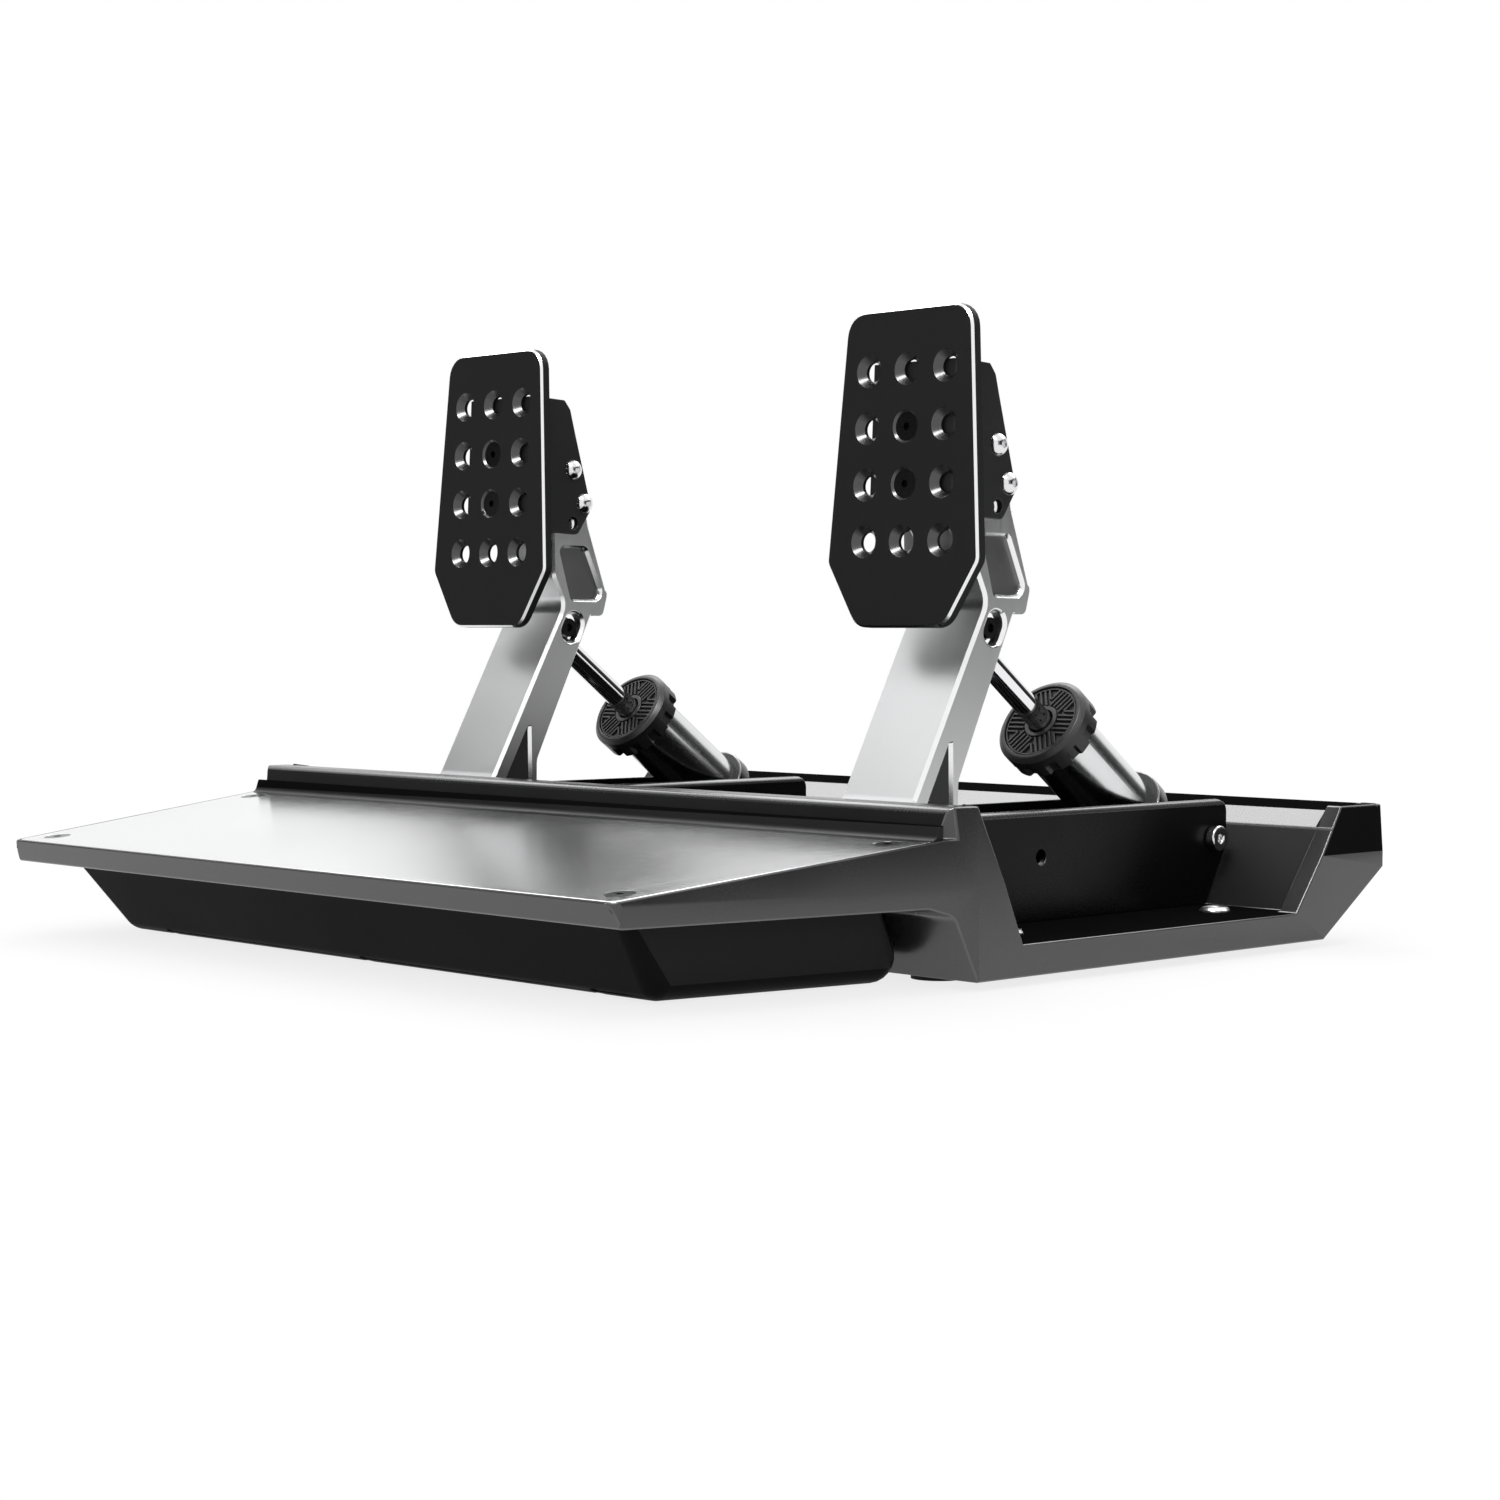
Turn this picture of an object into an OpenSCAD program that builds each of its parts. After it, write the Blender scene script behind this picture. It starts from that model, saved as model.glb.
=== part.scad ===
// Sim racing pedal set: a moulded floor base that carries a brake pedal and a throttle pedal.
// Each pedal is an aluminium arm on a shaft in a steel bracket, held out by a damper strut.
// The origin is on the floor under the middle of the base.
// +X is the driver's right, +Y points away from the driver and +Z is up.

/* [Base] */
// Overall width of the base
base_w = 390; // [370:5:430]
// Overall depth of the base
base_d = 377; // [365:1:400]
// Width of the base at its front edge
front_w = 345; // [310:5:365]
// Corner radius of the base at its front edge
front_r = 5; // [3:1:10]
// Height of the deck that carries the pedals
deck_z = 14; // [13:0.5:16]
// Height of the underside of the front rim
band_z = 28; // [25:0.5:30]
// Height of the fold line along the sides
fold_z = 34.5; // [32:0.5:36]
// Height of the front edge of the heel rest
rim_z = 36.2; // [36:0.2:41]
// Rise of the heel rest from its front edge to the ridge
heel_rise = 14; // [10:1:17]
// Height of the ridge behind the heel rest
ridge_z = 60.5; // [58:0.5:68]
// Depth of the ridge
ridge_d = 14.5; // [13:0.5:18]
// Height of the rear wall
rear_z = 52.5; // [50:0.5:57]
// Depth of the rear wall at the deck
rear_d = 51.5; // [48:0.5:54]
// Wall thickness of the mouldings
wall = 3; // [2.5:0.1:3.6]
// Width of the cheeks at the two ends of the ridge
cheek_w = 8; // [6:1:12]

/* [Heel plate] */
// Thickness of the heel plate
heel_t = 2; // [1.5:0.1:2.5]
// Width of the moulded lip around the heel plate
heel_lip = 1.6; // [1:0.1:3]
// Distance of each heel plate screw from the plate's side edge
heel_screw_in = 13; // [11:0.5:16]

/* [Tub] */
// Step from the side of the base in to the top of the tub
tub_in = 17.5; // [12:0.5:20]
// Further step from the top of the tub in to its floor
tub_slope = 16; // [12:1:18]
// Fillet between the walls and the floor of the tub
tub_r = 9; // [6:0.5:11]

/* [Feet] */
// Diameter of a rubber foot
foot_d = 18; // [14:1:20]
// Thickness of a rubber foot
foot_t = 2.5; // [2.2:0.1:2.8]
// How far a foot stands below the tub
foot_proud = 1; // [0.8:0.1:1.2]
// How far the underside of the deck stands above the underside of the tub
deck_lift = 2; // [1:0.5:3]

/* [Pedals] */
// Sideways place of the brake pedal
brake_x = -97; // [-110:1:-85]
// Sideways place of the throttle pedal
throttle_x = 129.5; // [115:0.5:138]
// Clear width inside a bracket
bracket_in = 36; // [36:0.5:40]
// Sheet thickness of a bracket
bracket_t = 2.5; // [2:0.1:3]
// Height of a bracket above the deck
bracket_h = 40; // [38:0.5:44]
// Length of a bracket
bracket_l = 191; // [189:0.5:193]
// Free space between the ridge and a bracket
bracket_gap = 5; // [4:0.5:6]

/* [Arm] */
// Height from the pivot to the top of the arm's head
arm_h = 127; // [122:1:132]
// Width of an arm
arm_w = 35; // [32:0.5:35]
// Thickness of the arm's front web
web_t = 5; // [4:0.5:6]
// Thickness of each side of the arm
arm_side_t = 5; // [4.5:0.1:5.5]
// Diameter of the pivot shaft
shaft_d = 10; // [8:0.5:11]
// Height of the pivot above the deck
pivot_h = 17; // [16.5:0.5:18]
// Distance of the pivot from the front end of the bracket
pivot_in = 14.5; // [14:0.5:16]

/* [Pedal plate] */
// Height of a pedal plate
plate_h = 111.5; // [108:0.5:120]
// Widest width of a pedal plate
plate_w = 71; // [66:1:78]
// Width of a pedal plate at its top
plate_top_w = 58; // [52:1:64]
// Width of a pedal plate at its bottom
plate_low_w = 42; // [36:1:50]
// Thickness of a pedal plate
plate_t = 4; // [3.5:0.1:5]
// Backward lean of a pedal plate
plate_lean = 2.3; // [0:0.1:4]
// Distance between two columns of holes
hole_dx = 18; // [16:0.5:20]
// Distance between two rows of holes
hole_dz = 20; // [18:0.5:22]
// Through diameter of a plate hole
hole_d = 7; // [6:0.1:8]
// Outer diameter of the dish around a plate hole
dish_d = 11.6; // [10.5:0.1:12.5]

/* [Damper] */
// Diameter of the damper cylinder
cyl_d = 28; // [26:0.5:30]
// Wall thickness of the damper cylinder
cyl_t = 3; // [2.5:0.1:3.5]
// Length of the damper cylinder
cyl_l = 54; // [50:0.5:56]
// Diameter of the damper cap and of the end collar
cap_d = 35; // [33:0.5:35.4]
// Length of the damper cap
cap_l = 10.5; // [9:0.5:12]
// Length of the end collar
collar_l = 7; // [6:0.5:8]
// Diameter of the damper rod
rod_d = 9; // [8:0.5:10]
// Diameter of the pin that joins the rod to the arm
rod_pin_d = 6; // [5:0.5:6]
// Diameter of the pin at the foot of the damper
foot_pin_d = 8; // [7:0.5:8]
// Distance from the foot pin to the end collar
collar_up = 15; // [14:0.5:16]
// Diameter of a spring wire
wire_d = 1.8; // [1.4:0.1:2.2]
// Number of turns of the throttle spring
spring_turns = 7; // [5:1:8]

/* [Fits] */
// Clearance between pieces that move past each other
gap = 0.4; // [0.3:0.05:0.6]
// Radial clearance of a shaft in its bush
fit = 0.04; // [0.02:0.01:0.08]
// Radial clearance of a screw in its hole
screw_gap = 0.15; // [0.1:0.05:0.25]

/* [Hidden] */

$fn = 48;
// Overrun of a cut past the face that it opens
over = 1;
// Radii of the small roundings, from a broken edge to a full bend
edge_r = 0.5;
soft_r = 1;
round_r = 1.5;
bend_r = 2;
wide_r = 3;
full_r = 4;
// Straight pieces in each rounded corner of an outline
corner_n = 6;

// Colours of the mouldings, sheets and metals
moulding = [0.13, 0.13, 0.14];
tub_black = [0.05, 0.05, 0.055];
sheet_black = [0.06, 0.06, 0.065];
heel_grey = [0.74, 0.75, 0.76];
silver = [0.72, 0.73, 0.75];
steel = [0.62, 0.63, 0.65];
rubber = [0.04, 0.04, 0.04];
bronze = [0.62, 0.45, 0.22];
board_green = [0.06, 0.25, 0.14];

// Places along the depth of the base
y_front = -base_d / 2;
y_rear = base_d / 2;
bracket_tuck = 12;
bay_l = bracket_gap + bracket_l - bracket_tuck;
// The heel rest takes the depth that the ridge, the bay and the rear wall leave
heel_d = base_d - ridge_d - bay_l - rear_d;
y_ridge = y_front + heel_d;
y_bay = y_ridge + ridge_d;
y_wall = y_rear - rear_d;
tub_z = foot_proud;
frame_z = tub_z + deck_lift;

// Front band and the foot below the ridge
band_rake = 3.2;
foot_back = 2;
arch_d = 20;
arch_r = 10;
y_foot = y_bay - foot_back;
heel_z = rim_z + heel_rise;
ridge_face_d = 2.5;
ridge_r = 3;
cheek_d = 21;
ridge_chamfer = 7.5;
side_wall = 4;
ridge_wall = 2;
lean_in = 2;
taper = atan((base_w - front_w) / 2 / (y_foot - y_front));
lean = atan(lean_in / (ridge_z - fold_z));
heel_slope = atan(heel_rise / heel_d);

// Rear wall section
rear_top_d = 24;
rear_fall = 2;
rear_chamfer_d = 9.5;
rear_chamfer_h = 6;
rear_face_h = 24;
rear_low_d = 39.5;
rib_fore = 6;
rib_top_d = 27;
rear_low_z = rear_z - rear_face_h;

// Ribs and bosses of the base
rim_t = 14;
heel_rib_t = 4;
heel_rib_share = [0.2, 0.5, 0.8];
heel_post_share = [0.34, 0.8];
heel_col_share = [-0.68, 0, 0.68];
post_d = 12;
deck_rib_t = 3;
deck_rib_share = [-0.74, -0.25, 0.08, 0.45, 0.88];
deck_t = 3.5;

// Rig holes through the deck
rig_hole_d = 9;
rig_boss_d = 17;
rig_in = 25;
rig_fore = 42;
rig_back = 22.5;
rig_x = base_w / 2 - rig_in;
rig_y_front = y_bay + rig_fore;
rig_y_rear = y_wall - rig_back;

// Tub
tub_front_in = 18.5;
tub_front_share = 1.5;
tub_rear_top = 24;
tub_rear_low = 5.5;
tub_wall = wall;
tub_foot_share = [0.491, 0.756];
tub_head_deep = 6;
tub_screw_grip = 7;
deck_foot_in = 35;
deck_foot_back = 4;
foot_boss_t = 2;
heel_tip = 4.5;
heel_screw_l = 10;

// Screws: M3, M4, M5 and M6 sizes
m3 = 3;
m4 = 4;
m5 = 5;
m6 = 6;
head_ratio_share = 1.68;
head_h_share = 0.56;
hex_share = 0.6;
cap_head_ratio_share = 1.65;
nut_share = 1.8;
nut_h_share = 0.8;

// Bracket outline
bracket_floor_t = 3;
bracket_edge_r = 2.3;
bracket_nose_r = 8;
bracket_tail_r = 5;
bracket_tail_cut = 13;
bracket_tail_h = 22;
bracket_out = bracket_in / 2 + bracket_t;
y_bracket = y_bay + bracket_gap;
y_tail = y_bracket + bracket_l;
bracket_top = deck_z + bracket_h;
side_hole_d = 5.5;
side_hole_y = 79.3;
side_hole_h = 23;
bolt_fore = 77;
bolt_back = 54;
bolt_rows = [bolt_fore, bracket_l - bolt_back];
bolt_half = 10;

// Pivot, rod pin and damper foot
pivot_y = y_bracket + pivot_in;
pivot_z = deck_z + pivot_h;
pin_share = [0.3285, 0.692];
pin_y = pivot_y + pin_share[0] * arm_h;
pin_z = pivot_z + pin_share[1] * arm_h;
foot_in = 23.1;
foot_h = 23.9;
foot_y = y_tail - foot_in;
foot_z = deck_z + foot_h;
foot_bolt_in = 9.1;
foot_bolt_h = 25.2;
foot_bolt_y = y_tail - foot_bolt_in;
foot_bolt_z = deck_z + foot_bolt_h;
damper_l = norm([foot_y - pin_y, pin_z - foot_z]);
damper_tilt = atan2(foot_y - pin_y, pin_z - foot_z);

// Arm outline, as shares of the height from the pivot to the top of the head: across, up, radius
arm_outline_share = [[-0.083, 0.047, 0.04], [-0.063, 0.126, 0.06], [0.0063, 0.23, 0.1],
    [0.2165, 0.619, 0.3], [0.297, 0.764, 0.06], [0.248, 0.858, 0.06], [0.243, 1.01, 0.02],
    [0.222, 1.03, 0.01], [0.222, 1.244, 0.02], [0.331, 1.244, 0.03], [0.398, 1.016, 0.03],
    [0.478, 0.8, 0.035], [0.459, 0.731, 0.022], [0.4087, 0.731, 0.012], [0.18, 0.271, 0.06],
    [0.18, 0.094, 0.05], [0.079, -0.055, 0.04], [-0.02, -0.05, 0.02]];
pocket_share = [[0.2795, 0.947, 0.012], [0.384, 0.947, 0.018], [0.4512, 0.807, 0.022],
    [0.433, 0.785, 0.016], [0.329, 0.785, 0.012]];
inlay_share = [[0.148, 0.392, 0.004], [0.1545, 0.126, 0.012], [0.0157, 0.126, 0.02],
    [0.064, 0.222, 0.06]];
channel_low_share = 0.13;
shank_lean = 26.5;
hub_r = 12;
window_w = 9.5;
window_l = 13;
inlay_deep = 2.2;
pocket_deep = 2.2;
inlay_t = 1.2;

// Pedal plate place and outline
plate_gap_y = 12.9;
plate_y = pivot_y + plate_gap_y;
plate_mid_share = 1.1654;
plate_z = pivot_z + plate_mid_share * arm_h;
plate_up_share = 0.46;
plate_wide_share = 0.205;
plate_top_r = 9;
plate_low_r = 5;
plate_tip_r = 9;
hole_cols = [-1, 0, 1];
hole_rows = [-1.5, -0.5, 0.5, 1.5];
dish_t = 2.6;

// Plate bracket
pb_t = 2.5;
pb_clear = 0.05;
pb_in = arm_w / 2 + pb_clear;
pb_up = 33;
pb_low_share = 1.0;
pb_low = plate_z - pivot_z - pb_low_share * arm_h;
pb_depth_top = 17;
pb_depth_step = 20.2;
pb_depth_wide = 33;
pb_depth_low = 26.4;
pb_step_h = 3.5;
pb_wide_h = 10.5;
angle_screw_share = [[0.315, 1.197], [0.3615, 1.0913]];
angle_hole_share = [0.314, 1.0275];
angle_screw_l = 9;
plate_screw_sink = 0.8;

// Damper internals
eye_r = 8;
eye_w = 14;
neck_d = 18;
rod_eye_r = 4.8;
eye_clear = 0.8;
rod_eye_w = 12;
piston_t = 6;
guide_l = 4.5;
notch_n = 12;
notch_d = 4;
notch_share = 0.55;
spring_gap = 0.3;
spring_side_gap = 1.2;
dead_turns = 0.75;
dead_step = 1.5;
disc_n = 4;
disc_d = 19;
pin_head_d = 7.6;
pin_head_t = 2.5;
pin_sink = 2;
pin_half = arm_w / 2 - pin_sink;
spacer_d = 9;
cyl_low = collar_up + collar_l;
cyl_top = cyl_low + cyl_l;
cap_top = cyl_top + guide_l;
bore_d = cyl_d - 2 * cyl_t;

// Foot block
ear_gap = 0.5;
ear_t = 6;
block_fore = 9;
block_floor = 5;
pillar_back = 4;
block_side_gap = 0.3;

// Pivot parts
bush_d = 14;
bush_flange_d = 18;
bush_flange_t = 0.6;
hub_gap = 0.4;
washer_t = 1;
washer_d = 16;
shaft_screw_l = 8;
magnet_d = 6;
magnet_t = 2.5;
sensor_w = 26;
sensor_h = 26;
sensor_t = 9;
sensor_wall = 2;

// Rear compartment
cover_t = 2.5;
cover_in = 3;
cover_screw_share = [-0.7, -0.24, 0.28, 0.7];
cover_boss_d = 9;
cover_screw_l = 8;
board_screw_l = 7;
board_w = 98;
board_h = 14.5;
board_t = 1.6;
board_back = 15;
board_x = (brake_x + throttle_x) / 2;
board_z = 38.5;
jack_w = 15;
jack_h = 13;
jack_mouth_w = 11;
jack_mouth_h = 7;
jack_deep = 10;
jack_dx = 22;
usb_w = 9;
usb_h = 3.3;
usb_l = 8;
usb_t = 0.5;
usb_dx = 20;
socket_gap = 0.3;
board_hole_in = 6;
y_board = y_rear - wall - board_back;
board_screw_x = [for (s = [-1, 1]) board_x + s * (board_w / 2 - board_hole_in)];

// A corner of an outline rounded by radius r, as points
function unit2(v) = v / norm(v);
function corner(a, b, c, r) =
    let (u = unit2(a - b), v = unit2(c - b), half = acos(max(-1, min(1, u * v))) / 2,
        back = r / tan(half), m = b + unit2(u + v) * (r / sin(half)),
        p = b + u * back - m, q = b + v * back - m,
        a0 = atan2(p[1], p[0]), turn = atan2(q[1], q[0]) - a0,
        sweep = turn > 180 ? turn - 360 : (turn < -180 ? turn + 360 : turn))
    [for (i = [0 : corner_n]) m + r * [cos(a0 + sweep * i / corner_n), sin(a0 + sweep * i / corner_n)]];
function xy(p) = [p[0], p[1]];
function rounded(pts) =
    let (n = len(pts))
    [for (i = [0 : n - 1]) each (pts[i][2] == 0 ? [xy(pts[i])]
        : corner(xy(pts[(i + n - 1) % n]), xy(pts[i]), xy(pts[(i + 1) % n]), pts[i][2]))];
function scaled(pts, s) = [for (p = pts) p * s];
function mirrored(pts) = [for (i = [len(pts) - 1 : -1 : 0]) [-pts[i][0], pts[i][1], pts[i][2]]];

// Extrusions: a side view drawn in Y and Z, and an end view drawn in X and Z
module side_slab(w) {
    rotate([90, 0, 90])
        translate([0, 0, -w / 2])
            linear_extrude(w)
                children();
}

module end_slab(y0, y1) {
    translate([0, y1, 0])
        rotate([90, 0, 0])
            linear_extrude(y1 - y0)
                children();
}

// A bar along X, centred on x = 0
module x_bar(d, l) {
    rotate([0, 90, 0])
        cylinder(d = d, h = l, center = true);
}

// Screws stand on z = 0: the head above, the shank below
module button_screw(d, l) {
    head_r = d * head_ratio_share / 2;
    head_h = d * head_h_share;
    difference() {
        union() {
            rotate_extrude()
                intersection() {
                    square([head_r, head_h]);
                    translate([0, head_h - (head_r * head_r + head_h * head_h) / (2 * head_h)])
                        circle(r = (head_r * head_r + head_h * head_h) / (2 * head_h), $fn = 96);
                }
            translate([0, 0, -l])
                cylinder(d = d, h = l + head_h / 4);
        }
        translate([0, 0, head_h * 0.4])
            cylinder(d = d * hex_share, h = head_h, $fn = 6);
    }
}

module cap_screw(d, head_h, l) {
    difference() {
        union() {
            cylinder(d = d * cap_head_ratio_share, h = head_h);
            translate([0, 0, -l])
                cylinder(d = d, h = l + d / 4);
        }
        translate([0, 0, head_h / 2])
            cylinder(d = d * hex_share, h = d, $fn = 6);
    }
}

module flat_screw(d, l, head_d) {
    head_h = (head_d - d) / 2;
    difference() {
        union() {
            translate([0, 0, -head_h])
                cylinder(d1 = d, d2 = head_d, h = head_h);
            translate([0, 0, -l])
                cylinder(d = d, h = l - head_h / 2);
        }
        translate([0, 0, -head_h * 0.6])
            cylinder(d = d * hex_share, h = head_h, $fn = 6);
    }
}

module flat_screw_hole(d, l, head_d) {
    head_h = (head_d - d) / 2;
    translate([0, 0, -head_h])
        cylinder(d1 = d + 2 * screw_gap, d2 = head_d + 2 * screw_gap, h = head_h);
    translate([0, 0, -l])
        cylinder(d = d + 2 * screw_gap, h = l);
    cylinder(d = head_d + 2 * screw_gap, h = over);
}

// Plan of the base, drawn inset from its sides by the given step
module base_plan(inset, y0, y1) {
    half_back = base_w / 2 - inset;
    half_y0 = front_w / 2 - inset / cos(taper) + (y0 - y_front) * tan(taper);
    y_reach = y0 + (half_back - half_y0) / tan(taper);
    r = max(front_r - inset, over / 2);
    side = y_reach < y1 ? [[half_back, y_reach, 0], [half_back, y1, 0]]
        : [[half_y0 + (y1 - y0) * tan(taper), y1, 0]];
    right = concat([[half_y0, y0, r]], side);
    polygon(rounded(concat(right, mirrored(right))));
}

// Half width of the base at a place along its tapered sides
function half_at(y) = min(base_w / 2, front_w / 2 + (y - y_front) * tan(taper));
function heel_at(y) = rim_z + heel_rise * (y - y_front) / heel_d;

heel_posts = [for (sx = heel_col_share, sy = heel_post_share)
    let (y = y_front + sy * heel_d) [sx * half_at(y), y]];
heel_screws = [for (sx = [-1, 1], y = [y_front + heel_screw_in, y_ridge - heel_screw_in])
    [sx * (half_at(y) - heel_screw_in), y]];
rig_holes = [for (sx = [-1, 1], y = [rig_y_front, rig_y_rear]) [sx * rig_x, y]];
bracket_bolts_at = [for (px = [brake_x, throttle_x], sx = [-1, 1], y = bolt_rows)
    [px + sx * bolt_half, y_bracket + y]];
tub_feet = [for (sx = [-1, 1], s = tub_foot_share)
    let (y = y_front + s * (y_foot - y_front)) [sx * (half_at(y) - tub_in - tub_slope - foot_d), y]];
deck_feet_y = [y_bay + deck_foot_in / 2, y_wall - deck_foot_back];
deck_feet = [for (sx = [-1, 1], y = deck_feet_y) [sx * (base_w / 2 - deck_foot_in), y]];
foot_boss_d = foot_d + 2 * foot_boss_t;
foot_seat = foot_t - foot_proud;

// Moulded base: rim, ridge, cheeks, deck and rear wall
module frame_outline() {
    polygon(rounded([
        [y_front, rim_z, edge_r], [y_ridge, heel_z, 0], [y_ridge + ridge_face_d, ridge_z, ridge_r],
        [y_bay, ridge_z, round_r], [y_bay, deck_z, edge_r], [y_wall, deck_z, soft_r],
        [y_rear - rear_top_d - rear_chamfer_d, rear_z - rear_fall - rear_chamfer_h, bend_r],
        [y_rear - rear_top_d, rear_z - rear_fall, soft_r], [y_rear, rear_z, edge_r],
        [y_rear, rear_low_z, edge_r], [y_rear - rear_low_d, frame_z, edge_r], [y_foot, frame_z, edge_r],
        [y_foot - arch_d / 2, band_z - wall, arch_r / 2], [y_foot - arch_d, band_z, arch_r / 2],
        [y_front + band_rake, band_z, round_r]]));
}

module cheek_outline() {
    polygon([[y_bay - wall, deck_z - wall], [y_bay - wall, ridge_z], [y_bay, ridge_z],
        [y_bay + cheek_d, deck_z], [y_bay + cheek_d, deck_z - wall]]);
    polygon([[y_wall - rib_fore, deck_z - wall], [y_wall - rib_fore, deck_z],
        [y_rear - rib_top_d, rear_z], [y_rear - wall, rear_z], [y_rear - wall, rear_low_z],
        [y_wall + wall, deck_z - wall]]);
}

module deck_hollow_outline() {
    thin = ridge_wall;
    polygon([[y_foot + thin * 1.15, frame_z - over], [y_foot - arch_d / 2 + thin * 1.15, band_z - wall],
        [y_ridge + thin, band_z + wall], [y_ridge + thin, heel_z],
        [y_ridge + thin + ridge_face_d / 2, ridge_z - wall], [y_bay - thin, ridge_z - wall],
        [y_bay - thin, deck_z - deck_t], [y_wall, deck_z - deck_t], [y_wall, frame_z - over]]);
}

function facet(t, n) =
    let (d = unit2([rear_low_d, rear_low_z - frame_z]))
    [y_rear - rear_low_d + d[0] * t - d[1] * n, frame_z + d[1] * t + d[0] * n];
facet_l = norm([rear_low_d, rear_low_z - frame_z]);

module wedge_hollow_outline() {
    polygon([facet(cover_in, -over), facet(cover_in, wall), [y_wall + 2 * wall, deck_z - deck_t + wall],
        [y_rear - rear_top_d - rear_chamfer_d + wall, rear_z - rear_fall - rear_chamfer_h - wall],
        [y_rear - rear_top_d + wall / 2, rear_z - rear_fall - wall - over],
        [y_rear - wall, rear_z - wall - over], [y_rear - wall, rear_low_z + over],
        facet(facet_l - cover_in, wall), facet(facet_l - cover_in, -over)]);
}

module deck_keep() {
    for (s = deck_rib_share)
        translate([s * base_w / 2 - deck_rib_t / 2, y_foot, frame_z + over])
            cube([deck_rib_t, y_wall - y_foot + over, deck_z - frame_z - over]);
    for (p = rig_holes)
        translate([p[0], p[1], frame_z])
            cylinder(d = rig_boss_d, h = deck_z - frame_z);
    for (p = bracket_bolts_at)
        translate([p[0], p[1], frame_z + over])
            cylinder(d = post_d, h = deck_z - frame_z - over);
    for (p = deck_feet)
        translate([p[0], p[1], frame_z])
            cylinder(d = foot_boss_d, h = deck_z - frame_z);
}

module heel_keep() {
    for (s = heel_rib_share)
        translate([-base_w / 2, y_front + s * heel_d - heel_rib_t / 2, 0])
            cube([base_w, heel_rib_t, ridge_z]);
    for (s = heel_col_share)
        translate([s * half_at(y_front + heel_d / 2) - heel_rib_t / 2, y_front, 0])
            cube([heel_rib_t, heel_d, ridge_z]);
    for (p = heel_posts)
        translate([p[0], p[1], 0])
            cylinder(d = post_d, h = ridge_z);
}

cover_mid = facet_l / 2;
module at_cover_screw(s) {
    p = facet(cover_mid, 0);
    translate([s * base_w / 2, p[0], p[1]])
        rotate([180 + atan2(rear_low_z - frame_z, rear_low_d), 0, 0])
            children();
}

module at_heel_screw(p) {
    translate([p[0], p[1], heel_at(p[1])])
        rotate([heel_slope, 0, 0])
            children();
}

module lean_cuts() {
    for (m = [0, 1])
        mirror([m, 0, 0]) {
            translate([front_w / 2, y_front, fold_z])
                rotate([0, 0, -taper])
                    rotate([0, -lean, 0])
                        translate([0, -base_d, 0])
                            cube([base_w, 2 * base_d, ridge_z]);
            translate([base_w / 2, 0, fold_z])
                rotate([0, -lean, 0])
                    translate([0, -base_d, 0])
                        cube([base_w, 2 * base_d, ridge_z]);
            // Chamfer at the front corner of the ridge
            translate([base_w / 2, y_ridge, heel_z])
                cylinder(r = ridge_chamfer, h = ridge_z, $fn = 4);
        }
}

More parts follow.
